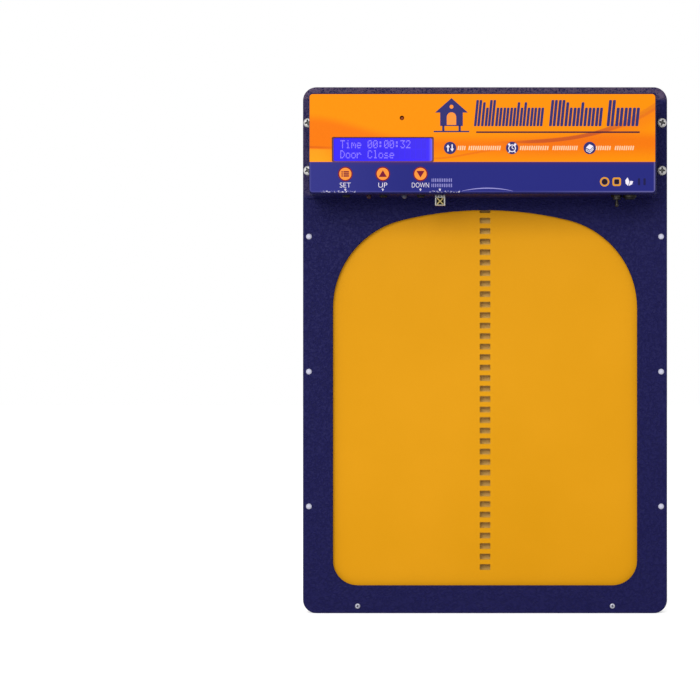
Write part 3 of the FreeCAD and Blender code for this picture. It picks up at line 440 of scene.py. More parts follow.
# ------------------------------------------------------------------ mesh helpers
def as_object(name, patches, material, body, smooth=False, sunk=None):
    """One mesh object from (points, faces) patches, riding on a body; sunk is kept point by point."""
    points = np.concatenate([patch_points for patch_points, _ in patches])
    starts = np.cumsum([0] + [len(patch_points) for patch_points, _ in patches[:-1]])
    faces = [(np.asarray(face) + start).tolist()
             for (_, patch_faces), start in zip(patches, starts) for face in patch_faces]
    mesh = bpy.data.meshes.new(name)
    mesh.from_pydata(points.tolist(), [], faces)
    mesh.validate()
    turn_outwards(mesh)
    mesh.polygons.foreach_set("use_smooth", [smooth] * len(mesh.polygons))
    mesh.materials.append(material)
    if sunk is not None:
        mesh.attributes.new("sunk", "FLOAT", "POINT").data.foreach_set("value", sunk)
    piece = bpy.data.objects.new(name, mesh)
    bpy.context.scene.collection.objects.link(piece)
    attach(piece, body)
    return piece


def turn_outwards(mesh):
    """Makes every closed shell's faces point outwards."""
    shells = bmesh.new()
    shells.from_mesh(mesh)
    bmesh.ops.recalc_face_normals(shells, faces=shells.faces)
    shells.to_mesh(mesh)
    shells.free()


def loop_quads(first, second, count):
    """Quads between two closed rings of count points that start at the given indices."""
    step = np.arange(count)
    after = (step + 1) % count
    return np.stack([first + step, first + after, second + after, second + step], axis=1)


def layered(flat, depths):
    """The flat places (x, z) at each of the depths y, one layer after another, as (x, y, z)."""
    return np.concatenate([np.insert(flat, 1, y, axis=1) for y in depths])


def plaque(outline, y_front, thick, hole=0.0):
    """Thin plate with a star-shaped outline, facing -Y.

    point(s, t) = centre + s (outline(t) - centre), with s from the hole's share to 1, drawn at the
    front and at the back, and closed by a wall round the outline (and round the hole).
    The outline runs anticlockwise seen from the front.
    """
    ring = np.asarray(outline, dtype=float)
    count = len(ring)
    centre = ring.mean(axis=0)
    shares = [1.0, hole] if hole else [1.0]
    flat = np.concatenate([centre + share * (ring - centre) for share in shares])
    points = layered(flat, (y_front, y_front + thick))
    if hole:
        front_out, front_in, back_out, back_in = (count * k for k in range(4))
        faces = [loop_quads(front_in, front_out, count), loop_quads(front_out, back_out, count),
                 loop_quads(back_out, back_in, count), loop_quads(back_in, front_in, count)]
        return points, np.concatenate(faces).tolist()
    walls = loop_quads(0, count, count).tolist()
    front = list(range(count))
    back = list(range(2 * count - 1, count - 1, -1))
    return points, walls + [front, back]


def circle(x, z, radius, count=40):
    """Outline (x + r cos t, z + r sin t) with t once round."""
    turn = np.linspace(0, 2 * np.pi, count, endpoint=False)
    return np.stack([x + radius * np.cos(turn), z + radius * np.sin(turn)], axis=1)


def bar(x, z, width, height, slant=0.0, corner=0.3, steps=4):
    """Rounded bar outline: four quarter circles about its corner centres, in order.

    The corner radius is a share of the shorter side, and slant leans each point to the right by slant
    times its height above the middle.
    """
    radius = corner * min(width, height)
    ring = []
    for k, (side, up) in enumerate(((1, -1), (1, 1), (-1, 1), (-1, -1))):
        turn = np.linspace(-np.pi / 2, 0, steps) + np.pi / 2 * k
        ring.append(np.stack([side * (width / 2 - radius) + radius * np.cos(turn),
                              up * (height / 2 - radius) + radius * np.sin(turn)], axis=1))
    ring = np.concatenate(ring)
    ring[:, 0] += slant * ring[:, 1]
    return ring + (x, z)


def polygon(x, z, size, corners):
    """Outline from corner places in units of size about (x, z)."""
    return np.asarray(corners, dtype=float) * size + (x, z)


def stroke(path, width, y_front, thick):
    """Flat line along a path: two rails half a width to each side, at the front and the back.

    A rail point is path(t) plus or minus half the width times the path's unit normal there.
    """
    path = np.asarray(path, dtype=float)
    run = np.gradient(path, axis=0)
    run /= np.linalg.norm(run, axis=1)[:, None]
    half_width = np.broadcast_to(np.asarray(width) / 2, len(path))
    side = np.stack([-run[:, 1], run[:, 0]], axis=1) * half_width[:, None]
    ring = np.concatenate([path - side, (path + side)[::-1]])
    count = len(ring)
    step = np.arange(len(path) - 1)
    across = np.stack([step, step + 1, count - 2 - step, count - 1 - step], axis=1)
    faces = np.concatenate([across, (across + count)[:, ::-1], loop_quads(0, count, count)])
    return layered(ring, (y_front, y_front + thick)), faces.tolist()


def rounded(x, z, width, height, radius, steps=8):
    """Rectangle outline with quarter-circle corners, anticlockwise seen from the front."""
    return bar(x, z, width, height, 0.0, radius / min(width, height), steps)


def flat_patch(curve, y_front, thick, rise=0.0):
    """Plate filled between a flat curve's outlines: curve point (a, b) goes to X = a, Z = b + rise."""
    curve.extrude = thick / 2
    holder = bpy.data.objects.new(curve.name, curve)
    bpy.context.scene.collection.objects.link(holder)
    bpy.context.view_layer.update()
    graph = bpy.context.evaluated_depsgraph_get()
    mesh = bpy.data.meshes.new_from_object(holder.evaluated_get(graph))
    bpy.data.objects.remove(holder)
    upright = Matrix.Rotation(math.pi / 2, 4, "X")
    mesh.transform(Matrix.Translation((0.0, y_front + thick / 2, rise)) @ upright)
    welded = bmesh.new()
    welded.from_mesh(mesh)
    bmesh.ops.remove_doubles(welded, verts=welded.verts, dist=1e-7)
    welded.to_mesh(mesh)
    welded.free()
    points = np.empty(len(mesh.vertices) * 3)
    mesh.vertices.foreach_get("co", points)
    faces = [list(face.vertices) for face in mesh.polygons]
    bpy.data.meshes.remove(mesh)
    return points.reshape(-1, 3), faces


def pierced_plate(name, outlines, y_front, thick):
    """Plate inside the first outline and outside the others, which lie in it as windows."""
    curve = bpy.data.curves.new(name, "CURVE")
    curve.dimensions = "2D"
    curve.fill_mode = "BOTH"
    for ring in outlines:
        spline = curve.splines.new("POLY")
        spline.points.add(len(ring) - 1)
        spline.use_cyclic_u = True
        depth_and_weight = np.tile((0.0, 1.0), (len(ring), 1))
        spline.points.foreach_set("co", np.hstack([ring, depth_and_weight]).ravel())
    return flat_patch(curve, y_front, thick)


def pan_screw(x, z, y_seat, radius, height, shank_radius, y_end, twist):
    """Pan-head screw facing -Y, as rings carried from the middle of its head to the end of its shank.

    The head stands height (1 - (r/R)^5)^(1/3) above its seat at radius r. A cross of two arms and a
    shallow bowl are sunk into it: an arm is deepest within its half width and fades out at its end.
    Returns the (points, faces) patch and each point's share of the deepest sinking.
    """
    turns = 72
    arm_half, arm_fade = 0.17, 0.07
    arm_reach, end_fade = 0.66, 0.12
    bowl_radius = 0.42
    deepest = 0.62
    share = np.linspace(0.03, 1.0, 30)
    stand = height * np.cbrt(1.0 - share ** 5)
    ring_radius = np.concatenate([share * radius, [shank_radius, shank_radius]])
    ring_y = np.concatenate([y_seat - stand, [y_seat, y_end]])
    angle = np.linspace(0.0, 2 * np.pi, turns, endpoint=False)
    r, t = np.meshgrid(ring_radius, angle, indexing="ij")
    along = r * np.cos(t - twist) / radius
    across = r * np.sin(t - twist) / radius
    arms = [np.clip((arm_half - np.abs(a)) / arm_fade, 0, 1)
            * np.clip((arm_reach - np.abs(b)) / end_fade, 0, 1)
            for a, b in ((along, across), (across, along))]
    bowl = np.clip(1.0 - r / (bowl_radius * radius), 0, 1)
    sunk = height * deepest * np.maximum(np.maximum(*arms), bowl)
    sunk[len(share):] = 0.0
    y = ring_y[:, None] + sunk
    points = np.stack([x + r * np.cos(t), y, z + r * np.sin(t)], axis=-1).reshape(-1, 3)
    starts = np.arange(len(ring_radius) - 1) * turns
    walls = np.concatenate([loop_quads(start, start + turns, turns) for start in starts]).tolist()
    first = list(range(turns))
    last = list(range(len(points) - 1, len(points) - 1 - turns, -1))
    return (points, walls + [first, last]), (sunk / sunk.max()).ravel()


def mirrored_places(node, radius):
    """Centres of a node's screws, which stand in mirrored pairs at the node's own low and high ends."""
    low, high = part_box(node)
    heights = sorted({round(z, 6) for z in (low.z + radius, high.z - radius)})
    return [(x, z) for x in (low.x + radius, high.x - radius) for z in heights]


def finish_nodes(material, *names):
    """Gives CAD nodes a better material in their own slots."""
    for name in names:
        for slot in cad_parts[name].material_slots:
            slot.material = material


# ------------------------------------------------------------------ label layout
# Places on the film are shares of its width (from the left) and of its height (from the bottom).
def film_x(share):
    """X at a share of the film's width."""
    return LABEL_LOW.x + share * LABEL_WIDTH


def film_z(share):
    """Z at a share of the film's height."""
    return LABEL_LOW.z + share * LABEL_HEIGHT


def film_plate(outline, level=1, hole=0.0):
    """Printed shape on the film: level 1 is the lowest ink, and each further ink stands prouder."""
    return plaque(outline, FILM_FACE - level * INK_THICKNESS, level * INK_THICKNESS, hole)


def film_stroke(path, width, level=1):
    """Printed line on the film, at an ink level as film_plate has."""
    return stroke(path, width, FILM_FACE - level * INK_THICKNESS, level * INK_THICKNESS)


# Each group of header strokes runs between two shares of the width, with one letter for each pair.
HEADER_WORDS = (
    (0.4775, 0.6775, "TtTsssttss"),
    (0.6945, 0.848, "TTtstss"),
    (0.861, 0.955, "Tsss"),
)
HEADER_PAIRS = {"T": "TT", "t": "ts", "s": "ss"}
HEADER_HEIGHTS = {"T": 0.268, "t": 0.245, "s": 0.190}
CAPTION_WORDS = (
    (0.4275, 0.452), (0.459, 0.5535),
    (0.6075, 0.692), (0.702, 0.776),
    (0.8265, 0.872), (0.882, 0.939),
)
BADGE_X = (0.4064, 0.5859, 0.8104)
BADGE_Z = 0.451
BUTTON_MARK_Z = 0.187
CORNER_MARK_X = (0.8535, 0.8885, 0.9235)
DARK_BAR_X = (0.953, 0.969)
CORNER_MARK_Z = 0.107
HUT_PLACE = (film_x(0.4105), film_z(0.782))
HUT_SIZE = 8.6 * MM
BUTTON_NAMES = (("SET", 7.2 * MM), ("UP", 5.8 * MM), ("DOWN", 11.2 * MM))
BUTTON_NAME_Z = 0.074
BUTTON_NAME_HEIGHT = 3.3 * MM
CAPITAL_SHARE = 0.70


def ticks(left, right, z, height, pitch, share, slant):
    """Row of ticks between two x places, centred on z: plain marks where words would stand."""
    count = max(2, round((right - left) / pitch))
    step = (right - left) / count
    patches = []
    for k in range(count):
        tall = height * (1.0 if k % 3 else 0.92)
        patches.append(film_plate(bar(left + (k + 0.5) * step, z, step * share, tall, slant, 0.2, 2)))
    return patches


def header_strokes():
    """Three groups of heavy slanted strokes in pairs, tall and short, on a common foot line.

    They are a plain pattern that stands where a name would.
    """
    foot = film_z(0.672)
    patches = []
    for left, right, rhythm in HEADER_WORDS:
        pitch = (right - left) / len(rhythm) * LABEL_WIDTH
        for k, pair in enumerate(rhythm):
            for side, kind in zip((-1, 1), HEADER_PAIRS[pair]):
                tall = HEADER_HEIGHTS[kind] * LABEL_HEIGHT
                x = film_x(left) + pitch * (k + 0.5 + 0.24 * side)
                patches.append(film_plate(bar(x, foot + tall / 2, pitch * 0.37, tall, 0.10, 0.35)))
    return patches


def header_rule():
    """Line under the header strokes."""
    rule = [(film_x(share), film_z(0.612)) for share in np.linspace(0.482, 0.955, 9)]
    return [film_stroke(rule, 1.0 * MM)]


def hut_mark():
    """Hen house pictogram: a gabled house on legs and a ground line, with a round gable window."""
    x, z = HUT_PLACE
    size = HUT_SIZE
    house = polygon(x, z, size, [(-0.86, -0.80), (0.86, -0.80), (0.86, 0.22), (1.25, 0.22), (0.0, 1.32),
                                 (-1.25, 0.22), (-0.86, 0.22)])
    patches = [film_plate(house)]
    for side in (-1, 1):
        patches.append(film_plate(bar(x + side * 0.62 * size, z - 0.98 * size, 1.5 * MM, 0.42 * size)))
    ground = [(x + share * size, z - 1.22 * size) for share in np.linspace(-1.35, 1.35, 5)]
    patches.append(film_stroke(ground, 0.9 * MM))
    return patches


def hut_openings():
    """Arched doorway and gable window of the pictogram, in the film's orange."""
    x, z = HUT_PLACE
    size = HUT_SIZE
    turn = np.linspace(0, np.pi, 14)
    arch = np.stack([x + 0.36 * size * np.cos(turn), z - 0.12 * size + 0.36 * size * np.sin(turn)], axis=1)
    feet = np.array([(x - 0.36 * size, z - 0.72 * size), (x + 0.36 * size, z - 0.72 * size)])
    window = circle(x, z + 0.66 * size, 0.15 * size, 20)
    return [film_plate(np.concatenate([arch, feet]), 2), film_plate(window, 2)]


def badges():
    """Round feature badges."""
    return [film_plate(circle(film_x(share), film_z(BADGE_Z), 4.05 * MM)) for share in BADGE_X]


def badge_marks():
    """White marks in the badges: up and down arrows, a clock with two bells, and a folded sheet."""
    patches = []
    z = film_z(BADGE_Z)
    arrow = [(0.0, 1.0), (-0.52, 0.2), (-0.17, 0.2), (-0.17, -1.0), (0.17, -1.0), (0.17, 0.2), (0.52, 0.2)]
    for side, way in ((-1, 1), (1, -1)):
        points = np.asarray(arrow) * (way, way)
        patches.append(film_plate(polygon(film_x(BADGE_X[0]) + side * 1.35 * MM, z, 2.3 * MM, points), 2))
    x = film_x(BADGE_X[1])
    patches.append(film_plate(circle(x, z - 0.2 * MM, 2.5 * MM, 32), 2, 0.76))
    for side in (-1, 1):
        patches.append(film_plate(circle(x + side * 2.0 * MM, z + 2.3 * MM, 0.75 * MM, 16), 2))
        patches.append(film_stroke([(x + side * 1.5 * MM, z - 2.2 * MM), (x + side * 2.3 * MM, z - 3.0 * MM)],
                                   0.6 * MM, 2))
    patches.append(film_stroke([(x, z + 1.3 * MM), (x, z - 0.2 * MM)], 0.5 * MM, 2))
    patches.append(film_stroke([(x, z - 0.2 * MM), (x + 1.1 * MM, z - 0.6 * MM)], 0.5 * MM, 2))
    x = film_x(BADGE_X[2])
    sheet_top = [(-0.95, 0.1), (0.05, -0.45), (0.95, 0.45), (-0.05, 0.95)]
    patches.append(film_plate(polygon(x, z, 2.6 * MM, sheet_top), 2))
    for low in (0.35, 0.75):
        fold = [(x - 2.47 * MM, z + (0.26 - low * 2.6) * MM), (x + 0.13 * MM, z - (1.17 + low * 2.6) * MM),
                (x + 2.47 * MM, z + (1.17 - low * 2.6) * MM)]
        patches.append(film_stroke(fold, 0.5 * MM, 2))
    return patches


def caption_ticks():
    """White ticks beside the badges."""
    z = film_z(BADGE_Z)
    return [tick for left, right in CAPTION_WORDS
            for tick in ticks(film_x(left), film_x(right), z, 2.9 * MM, 1.45 * MM, 0.60, 0.18)]


def button_rounds(radius, level):
    """One round for each button: small ones in orange over larger ones that show as darker rings."""
    z = film_z(BUTTON_MARK_Z)
    return [film_plate(circle(middle_x(node), z, radius), level) for node in BUTTON_NODES]


def button_marks():
    """Menu lines, an up triangle and a down triangle on the discs."""
    z = film_z(BUTTON_MARK_Z)
    menu_x, up_x, down_x = (middle_x(node) for node in BUTTON_NODES)
    patches = []
    for row in (-1, 0, 1):
        for shift, length in ((0.6 * MM, 3.6 * MM), (-2.1 * MM, 0.9 * MM)):
            patches.append(film_plate(bar(menu_x + shift, z + row * 1.35 * MM, length, 0.92 * MM), 3))
    triangle = np.array([(0.0, 1.0), (-1.05, -0.75), (1.05, -0.75)])
    patches.append(film_plate(polygon(up_x, z - 0.1 * MM, 2.5 * MM, triangle), 3))
    patches.append(film_plate(polygon(down_x, z + 0.1 * MM, 2.5 * MM, -triangle), 3))
    return patches


def pointer_marks():
    """Small white pointers at the film's lower edge, above each button and the receiver."""
    z = film_z(0.028)
    tip = [(0.0, -1.0), (0.9, 0.7), (-0.9, 0.7)]
    patches = []
    for node in (*BUTTON_NODES, "ir_shield"):
        x = middle_x(node)
        patches.append(film_stroke([(x, z + 0.7 * MM), (x, z)], 0.5 * MM))
        patches.append(film_plate(polygon(x, z - 0.2 * MM, 0.85 * MM, tip)))
    return patches


def receiver_lines():
    """Two rows of fine upright ticks over the receiver's pointer."""
    x = middle_x("ir_shield") + 1.2 * MM
    return [tick for z, half in ((film_z(0.123), 6.9 * MM), (film_z(0.070), 7.0 * MM))
            for tick in ticks(x - half, x + half, z, 2.3 * MM, 1.15 * MM, 0.42, 0.0)]


def corner_marks():
    """Small yellow marks at the film's lower right: a round frame and a rounded square frame."""
    z = film_z(CORNER_MARK_Z)
    ring = circle(film_x(CORNER_MARK_X[0]), z, 3.1 * MM, 32)
    square = rounded(film_x(CORNER_MARK_X[1]), z, 5.6 * MM, 5.6 * MM, 1.4 * MM)
    return [film_plate(ring, 1, 0.66), film_plate(square, 1, 0.60)]


def leaf_marks():
    """White leaf pair beside the yellow marks."""
    z = film_z(CORNER_MARK_Z)
    x = film_x(CORNER_MARK_X[2])
    left = polygon(x, z, 3.0 * MM, [(-0.2, -0.9), (0.15, 0.0), (-0.25, 0.95), (-0.75, 0.35), (-0.7, -0.35)])
    right = polygon(x, z, 3.0 * MM, [(-0.05, -0.9), (0.7, -0.55), (0.95, 0.1), (0.35, 0.2)])
    return [film_plate(left), film_plate(right)]


def dark_marks():
    """Dark centres of the yellow marks."""
    z = film_z(CORNER_MARK_Z)
    disc = circle(film_x(CORNER_MARK_X[0]), z, 1.7 * MM, 20)
    square = rounded(film_x(CORNER_MARK_X[1]), z, 2.8 * MM, 2.8 * MM, 0.6 * MM)
    return [film_plate(disc), film_plate(square)]


def dark_bars():
    """Two bars beyond the leaf pair, a shade darker than the band."""
    z = film_z(CORNER_MARK_Z)
    return [film_plate(bar(film_x(share), z, 1.5 * MM, 4.6 * MM, 0.0, 0.4)) for share in DARK_BAR_X]


def sweep_line():
    """Thin pale arc along the lower edge, thickest at its crown."""
    share = np.linspace(0.0, 1.0, 40)
    x = film_x(0.441) + share * 0.147 * LABEL_WIDTH
    z = film_z(0.012) + np.sin(np.pi * share) ** 0.8 * 0.030 * LABEL_HEIGHT
    width = (0.15 + 0.5 * np.sin(np.pi * share)) * MM
    return [film_stroke(np.stack([x, z], axis=1), width)]


def lettering(text, x, z, width, height, level=2):
    """Printed capitals: the text's outline as a thin plate, centred on (x, z) and as wide as asked.

    Each x is moved to the place's x plus its distance from the text's middle, times asked over own width.
    """
    curve = bpy.data.curves.new(text, "FONT")
    curve.body = text
    curve.size = height / CAPITAL_SHARE
    curve.offset = -0.05 * MM
    curve.align_x = "CENTER"
    curve.resolution_u = 6
    thick = level * INK_THICKNESS
    points, faces = flat_patch(curve, FILM_FACE - thick, thick, z - height / 2)
    left, right = points[:, 0].min(), points[:, 0].max()
    points[:, 0] = x + (points[:, 0] - (left + right) / 2) * width / (right - left)
    return points, faces


def button_names():
    """The buttons' plain names, SET, UP and DOWN, under their rounds."""
    z = film_z(BUTTON_NAME_Z)
    return [lettering(text, middle_x(node), z, width, BUTTON_NAME_HEIGHT)
            for (text, width), node in zip(BUTTON_NAMES, BUTTON_NODES)]


# ------------------------------------------------------------------ display characters
# Each glyph is seven rows of five dots, top row first, and stands for the letter of its key.
GLYPHS = {
    "T": ("#####", "..#..", "..#..", "..#..", "..#..", "..#..", "..#.."),
    "i": ("..#..", ".....", ".##..", "..#..", "..#..", "..#..", ".###."),
    "m": (".....", ".....", "##.#.", "#.#.#", "#.#.#", "#...#", "#...#"),
    "e": (".....", ".....", ".###.", "#...#", "#####", "#....", ".###."),
    "0": (".###.", "#...#", "#..##", "#.#.#", "##..#", "#...#", ".###."),
    ":": (".....", ".##..", ".##..", ".....", ".##..", ".##..", "....."),
    "3": ("#####", "...#.", "..#..", "...#.", "....#", "#...#", ".###."),
    "2": (".###.", "#...#", "....#", "...#.", "..#..", ".#...", "#####"),
    "D": ("###..", "#..#.", "#...#", "#...#", "#...#", "#..#.", "###.."),
    "o": (".....", ".....", ".###.", "#...#", "#...#", "#...#", ".###."),
    "r": (".....", ".....", "#.##.", "##..#", "#....", "#....", "#...."),
    "C": (".###.", "#...#", "#....", "#....", "#....", "#...#", ".###."),
    "l": (".##..", "..#..", "..#..", "..#..", "..#..", "..#..", ".###."),
    "s": (".....", ".....", ".###.", "#....", ".###.", "....#", "####."),
    " ": (".....",) * 7,
}
CHARACTER_PITCH = 3.58 * MM
ROW_PITCH = 6.60 * MM
DOT_PITCH = np.array((0.60, 0.76)) * MM
DOT_SIZE = np.array((0.50, 0.66)) * MM
DISPLAY_COLUMNS = 16
DISPLAY_MIDDLE = (GLASS_LOW.z + GLASS_HIGH.z) / 2 + 0.35 * MM


def display_dots(rows):
    """Lit dots of two lines of text: dot(column, row) on the module's own grid, as small squares."""
    centre_x = (GLASS_LOW.x + GLASS_HIGH.x) / 2 + 0.4 * MM
    spots = []
    for line, text in enumerate(rows):
        top = DISPLAY_MIDDLE + ROW_PITCH * (0.5 - line) + 3 * DOT_PITCH[1]
        for place, letter in enumerate(text):
            left = centre_x + CHARACTER_PITCH * (place + 0.5 - DISPLAY_COLUMNS / 2) - 2 * DOT_PITCH[0]
            for row, pattern in enumerate(GLYPHS[letter]):
                for column, dot in enumerate(pattern):
                    if dot == "#":
                        spots.append((left + column * DOT_PITCH[0], top - row * DOT_PITCH[1]))
    spots = np.array(spots)
    corner = np.array([(-1, -1), (1, -1), (1, 1), (-1, 1)]) * DOT_SIZE / 2
    flat = (spots[:, None, :] + corner[None, :, :]).reshape(-1, 2)
    points = layered(flat, (GLASS_LOW.y - INK_THICKNESS, GLASS_LOW.y))
    count = len(flat)
    base = np.arange(len(spots))[:, None] * 4
    front = base + np.array([[0, 1, 2, 3]])
    back = base + count + np.array([[3, 2, 1, 0]])
    walls = [np.concatenate([base + a, base + a + count, base + b + count, base + b], axis=1)
             for a, b in ((0, 1), (1, 2), (2, 3), (3, 0))]
    return [(points, np.concatenate([front, back] + walls).tolist())]


def display_gasket():
    """Thin rounded frame in the window, between its edge and the display."""
    low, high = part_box("lcd_bezel")
    x = (low.x + high.x) / 2
    z = (low.z + high.z) / 2
    outer = rounded(x, z, WINDOW_SIZE[0] - 0.1 * MM, WINDOW_SIZE[1] - 0.1 * MM, 1.0 * MM)
    inner = rounded(x, z, WINDOW_SIZE[0] - 2.2 * MM, WINDOW_SIZE[1] - 1.2 * MM, 1.3 * MM)
    return [pierced_plate("gasket", [outer, inner], low.y - 0.8 * MM, 0.75 * MM)]


# ------------------------------------------------------------------ settings
def colour_setting(name, description, default):
    """A colour that the user can change."""
    return FloatVectorProperty(name=name, description=description, default=default, subtype="COLOR",
                               size=3, min=0.0, max=1.0)


class CoatSettings(bpy.types.PropertyGroup):
    navy: colour_setting("Navy", "Colour of the frame's coat", (0.0040, 0.0036, 0.0370))
    grain: FloatProperty(name="Grain", description="How many folds of the coat fit in a metre",
                         default=420.0, min=50.0, max=2000.0)
    grain_depth: FloatProperty(name="Grain depth", description="Height of the coat's folds",
                               default=0.00030, min=0.0, max=0.001, unit="LENGTH", precision=6)


class DoorSettings(bpy.types.PropertyGroup):
    colour: colour_setting("Door colour", "Colour of the sliding panel's coat", (0.402, 0.176, 0.0004))


class LabelSettings(bpy.types.PropertyGroup):
    orange: colour_setting("Orange", "Upper field of the label", (0.482, 0.142, 0.0003))
    deep_orange: colour_setting("Deep orange", "Shade on the label's upper field", (0.450, 0.088, 0.0013))
    violet: colour_setting("Violet", "Ink of the marks on the orange field", linear(30, 28, 76))
    band_share: FloatProperty(name="Band height", description="Share of the label's height that is violet",
                              default=0.3096, min=0.0, max=1.0, subtype="FACTOR")


class DisplaySettings(bpy.types.PropertyGroup):
    blue: colour_setting("Backlight", "Colour of the display's backlight", linear(42, 10, 252))
    brightness: FloatProperty(name="Brightness", description="Strength of the backlight",
                              default=0.98, min=0.0, max=5.0)
    upper_line: StringProperty(name="Upper line", description="Text of the upper line",
                               default="Time 00:00:32")
    lower_line: StringProperty(name="Lower line", description="Text of the lower line", default="Door Close")


class StageSettings(bpy.types.PropertyGroup):
    lens_length: FloatProperty(name="Lens", description="Focal length of the camera, in millimetres",
                               default=113.3, min=20.0, max=300.0)
    distance: FloatProperty(name="Distance", description="From the lens to the face plate",
                            default=1.476, min=0.3, max=10.0, unit="LENGTH")
    eye_height: FloatProperty(name="Eye height", description="Lens height above the frame's lower edge",
                              default=0.1536, min=-1.0, max=2.0, unit="LENGTH")
    ambient: FloatProperty(name="Ambient", description="Strength of the white surroundings",
                           default=1.0, min=0.0, max=3.0)
    key_power: FloatProperty(name="Key light", description="Power of the large soft box", default=43.0,
                             min=0.0, max=500.0, unit="POWER")


SETTINGS = {
    "coop_coat": CoatSettings,
    "coop_door": DoorSettings,
    "coop_label": LabelSettings,
    "coop_display": DisplaySettings,
    "coop_stage": StageSettings,
}


# ------------------------------------------------------------------ operators
class COOP_OT_frame(bpy.types.Operator):
    """Textured navy coat on the face plate, the rear sheet and the box cover"""
    bl_idname = "coop.frame"
    bl_label = "Frame and cover"

    def execute(self, context):
        coat = wrinkle_coat("navy_coat", context.scene.coop_coat)
        finish_nodes(coat, "face_plate", "rear_frame", "box_cover")
        plastic = moulded("guide_plastic", paint(30, 30, 33), 0.45, 700.0)
        finish_nodes(plastic, "left_guide_bar", "right_guide_bar", "bottom_bar")
        return {"FINISHED"}


class COOP_OT_door(bpy.types.Operator):
    """Satin yellow-orange coat on the sliding panel and its channel"""
    bl_idname = "coop.door"
    bl_label = "Sliding door"

    def execute(self, context):
        colour = tuple(context.scene.coop_door.colour)
        finish_nodes(satin_coat("door_coat", colour), "door_panel")
        finish_nodes(channel_coat("channel_coat", colour), "door_channel")
        return {"FINISHED"}


class COOP_OT_fasteners(bpy.types.Operator):
    """Bright plated screws and plain aluminium rivets"""
    bl_idname = "coop.fasteners"
    bl_label = "Fasteners"

    def execute(self, context):
        zinc = bare_metal("bright_zinc", (0.36, 0.35, 0.345), 0.40, 900.0, metallic=0.55, paint_recess_shade=True)
        dull_zinc = bare_metal("dull_zinc", (0.30, 0.30, 0.36), 0.45, 900.0, metallic=0.5, paint_recess_shade=True)
        for node, radius, height, metal in (("cover_screws", 3.2 * MM, 2.2 * MM, zinc),
                                            ("bottom_screws", 1.75 * MM, 1.1 * MM, dull_zinc)):
            low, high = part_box(node)
            screws = [pan_screw(x, z, low.y + height, radius, height, radius * 0.55, high.y, 0.5 + 1.3 * k)
                      for k, (x, z) in enumerate(mirrored_places(node, radius))]
            patches, depths = zip(*screws)
            piece = as_object(node + "_heads", patches, metal, "frame", True,
                              np.concatenate(depths))
            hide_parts(node)
        small_zinc = bare_metal("small_zinc", (0.52, 0.50, 0.49), 0.40, 900.0)
        finish_nodes(small_zinc, "board_screws", "bracket_screws", "motor_screws")
        alloy = bare_metal("rivet_alloy", (0.33, 0.33, 0.41), 0.6, 1200.0, tarnish=0.1, metallic=0.2)
        finish_nodes(alloy, "frame_rivets")
        return {"FINISHED"}


class COOP_OT_label(bpy.types.Operator):
    """Printed film with its header pattern, badges and button marks"""
    bl_idname = "coop.label"
    bl_label = "Front label"

    def execute(self, context):
        settings = context.scene.coop_label
        window_x = middle_x("lcd_bezel")
        window_z = (BEZEL_LOW.z + BEZEL_HIGH.z) / 2
        sensor_z = (SENSOR_LOW.z + SENSOR_HIGH.z) / 2
        outlines = [
            rounded((LABEL_LOW.x + LABEL_HIGH.x) / 2, (LABEL_LOW.z + LABEL_HIGH.z) / 2,
                    LABEL_WIDTH, LABEL_HEIGHT, 2.0 * MM),
            rounded(window_x, window_z, WINDOW_SIZE[0], WINDOW_SIZE[1], 1.0 * MM),
            circle(middle_x("light_sensor"), sensor_z, SENSOR_HOLE_RADIUS, 24),
        ]
        film = as_object("label_film", [pierced_plate("film", outlines, FILM_FACE, FILM_BACK - FILM_FACE)],
                         printed_film("label_film", settings), "frame")
        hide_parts("label_panel")
        white = plain_ink("white_ink", paint(214, 208, 220))
        prints = (
            ("label_header", header_strokes() + hut_mark() + badges(),
             plain_ink("violet_ink", tuple(settings.violet))),
            ("label_rule", header_rule(), plain_ink("rule_ink", paint(58, 14, 40))),
            ("label_orange_marks", hut_openings() + button_rounds(4.0 * MM, 2),
             plain_ink("orange_ink", paint(222, 130, 48))),
            ("label_badge_marks", badge_marks() + leaf_marks() + pointer_marks(), white),
            ("label_captions", caption_ticks(), plain_ink("caption_ink", paint(226, 182, 142))),
            ("label_rings", button_rounds(4.8 * MM, 1) + button_marks(),
             plain_ink("maroon_ink", paint(104, 6, 40))),
            ("label_corner_marks", corner_marks(), plain_ink("yellow_ink", paint(196, 134, 34))),
            ("label_dark_marks", dark_marks(), plain_ink("black_ink", paint(24, 6, 12))),
            ("label_dark_bars", dark_bars(), plain_ink("dark_violet_ink", paint(18, 15, 66))),
            ("label_fine_lines", receiver_lines() + sweep_line(),
             plain_ink("faded_ink", paint(136, 132, 190))),
            ("label_button_names", button_names(), white),
        )
        for name, patches, ink in prints:
            as_object(name, patches, ink, "frame")
        return {"FINISHED"}


class COOP_OT_display(bpy.types.Operator):
    """Two-line backlit display in its dark frame"""
    bl_idname = "coop.display"
    bl_label = "Display"

    def execute(self, context):
        settings = context.scene.coop_display
        finish_nodes(backlit_glass("display_glass", settings), "lcd_glass")
        finish_nodes(moulded("display_frame", paint(60, 30, 52), 0.4), "lcd_bezel")
        as_object("display_gasket", display_gasket(), moulded("gasket_rubber", paint(84, 36, 66), 0.6),
                  "frame")
        dots = display_dots((settings.upper_line, settings.lower_line))
        lit = lens("display_dots", linear(30, 20, 90), 1.0, linear(130, 108, 252))
        as_object("display_characters", dots, lit, "frame")
        return {"FINISHED"}


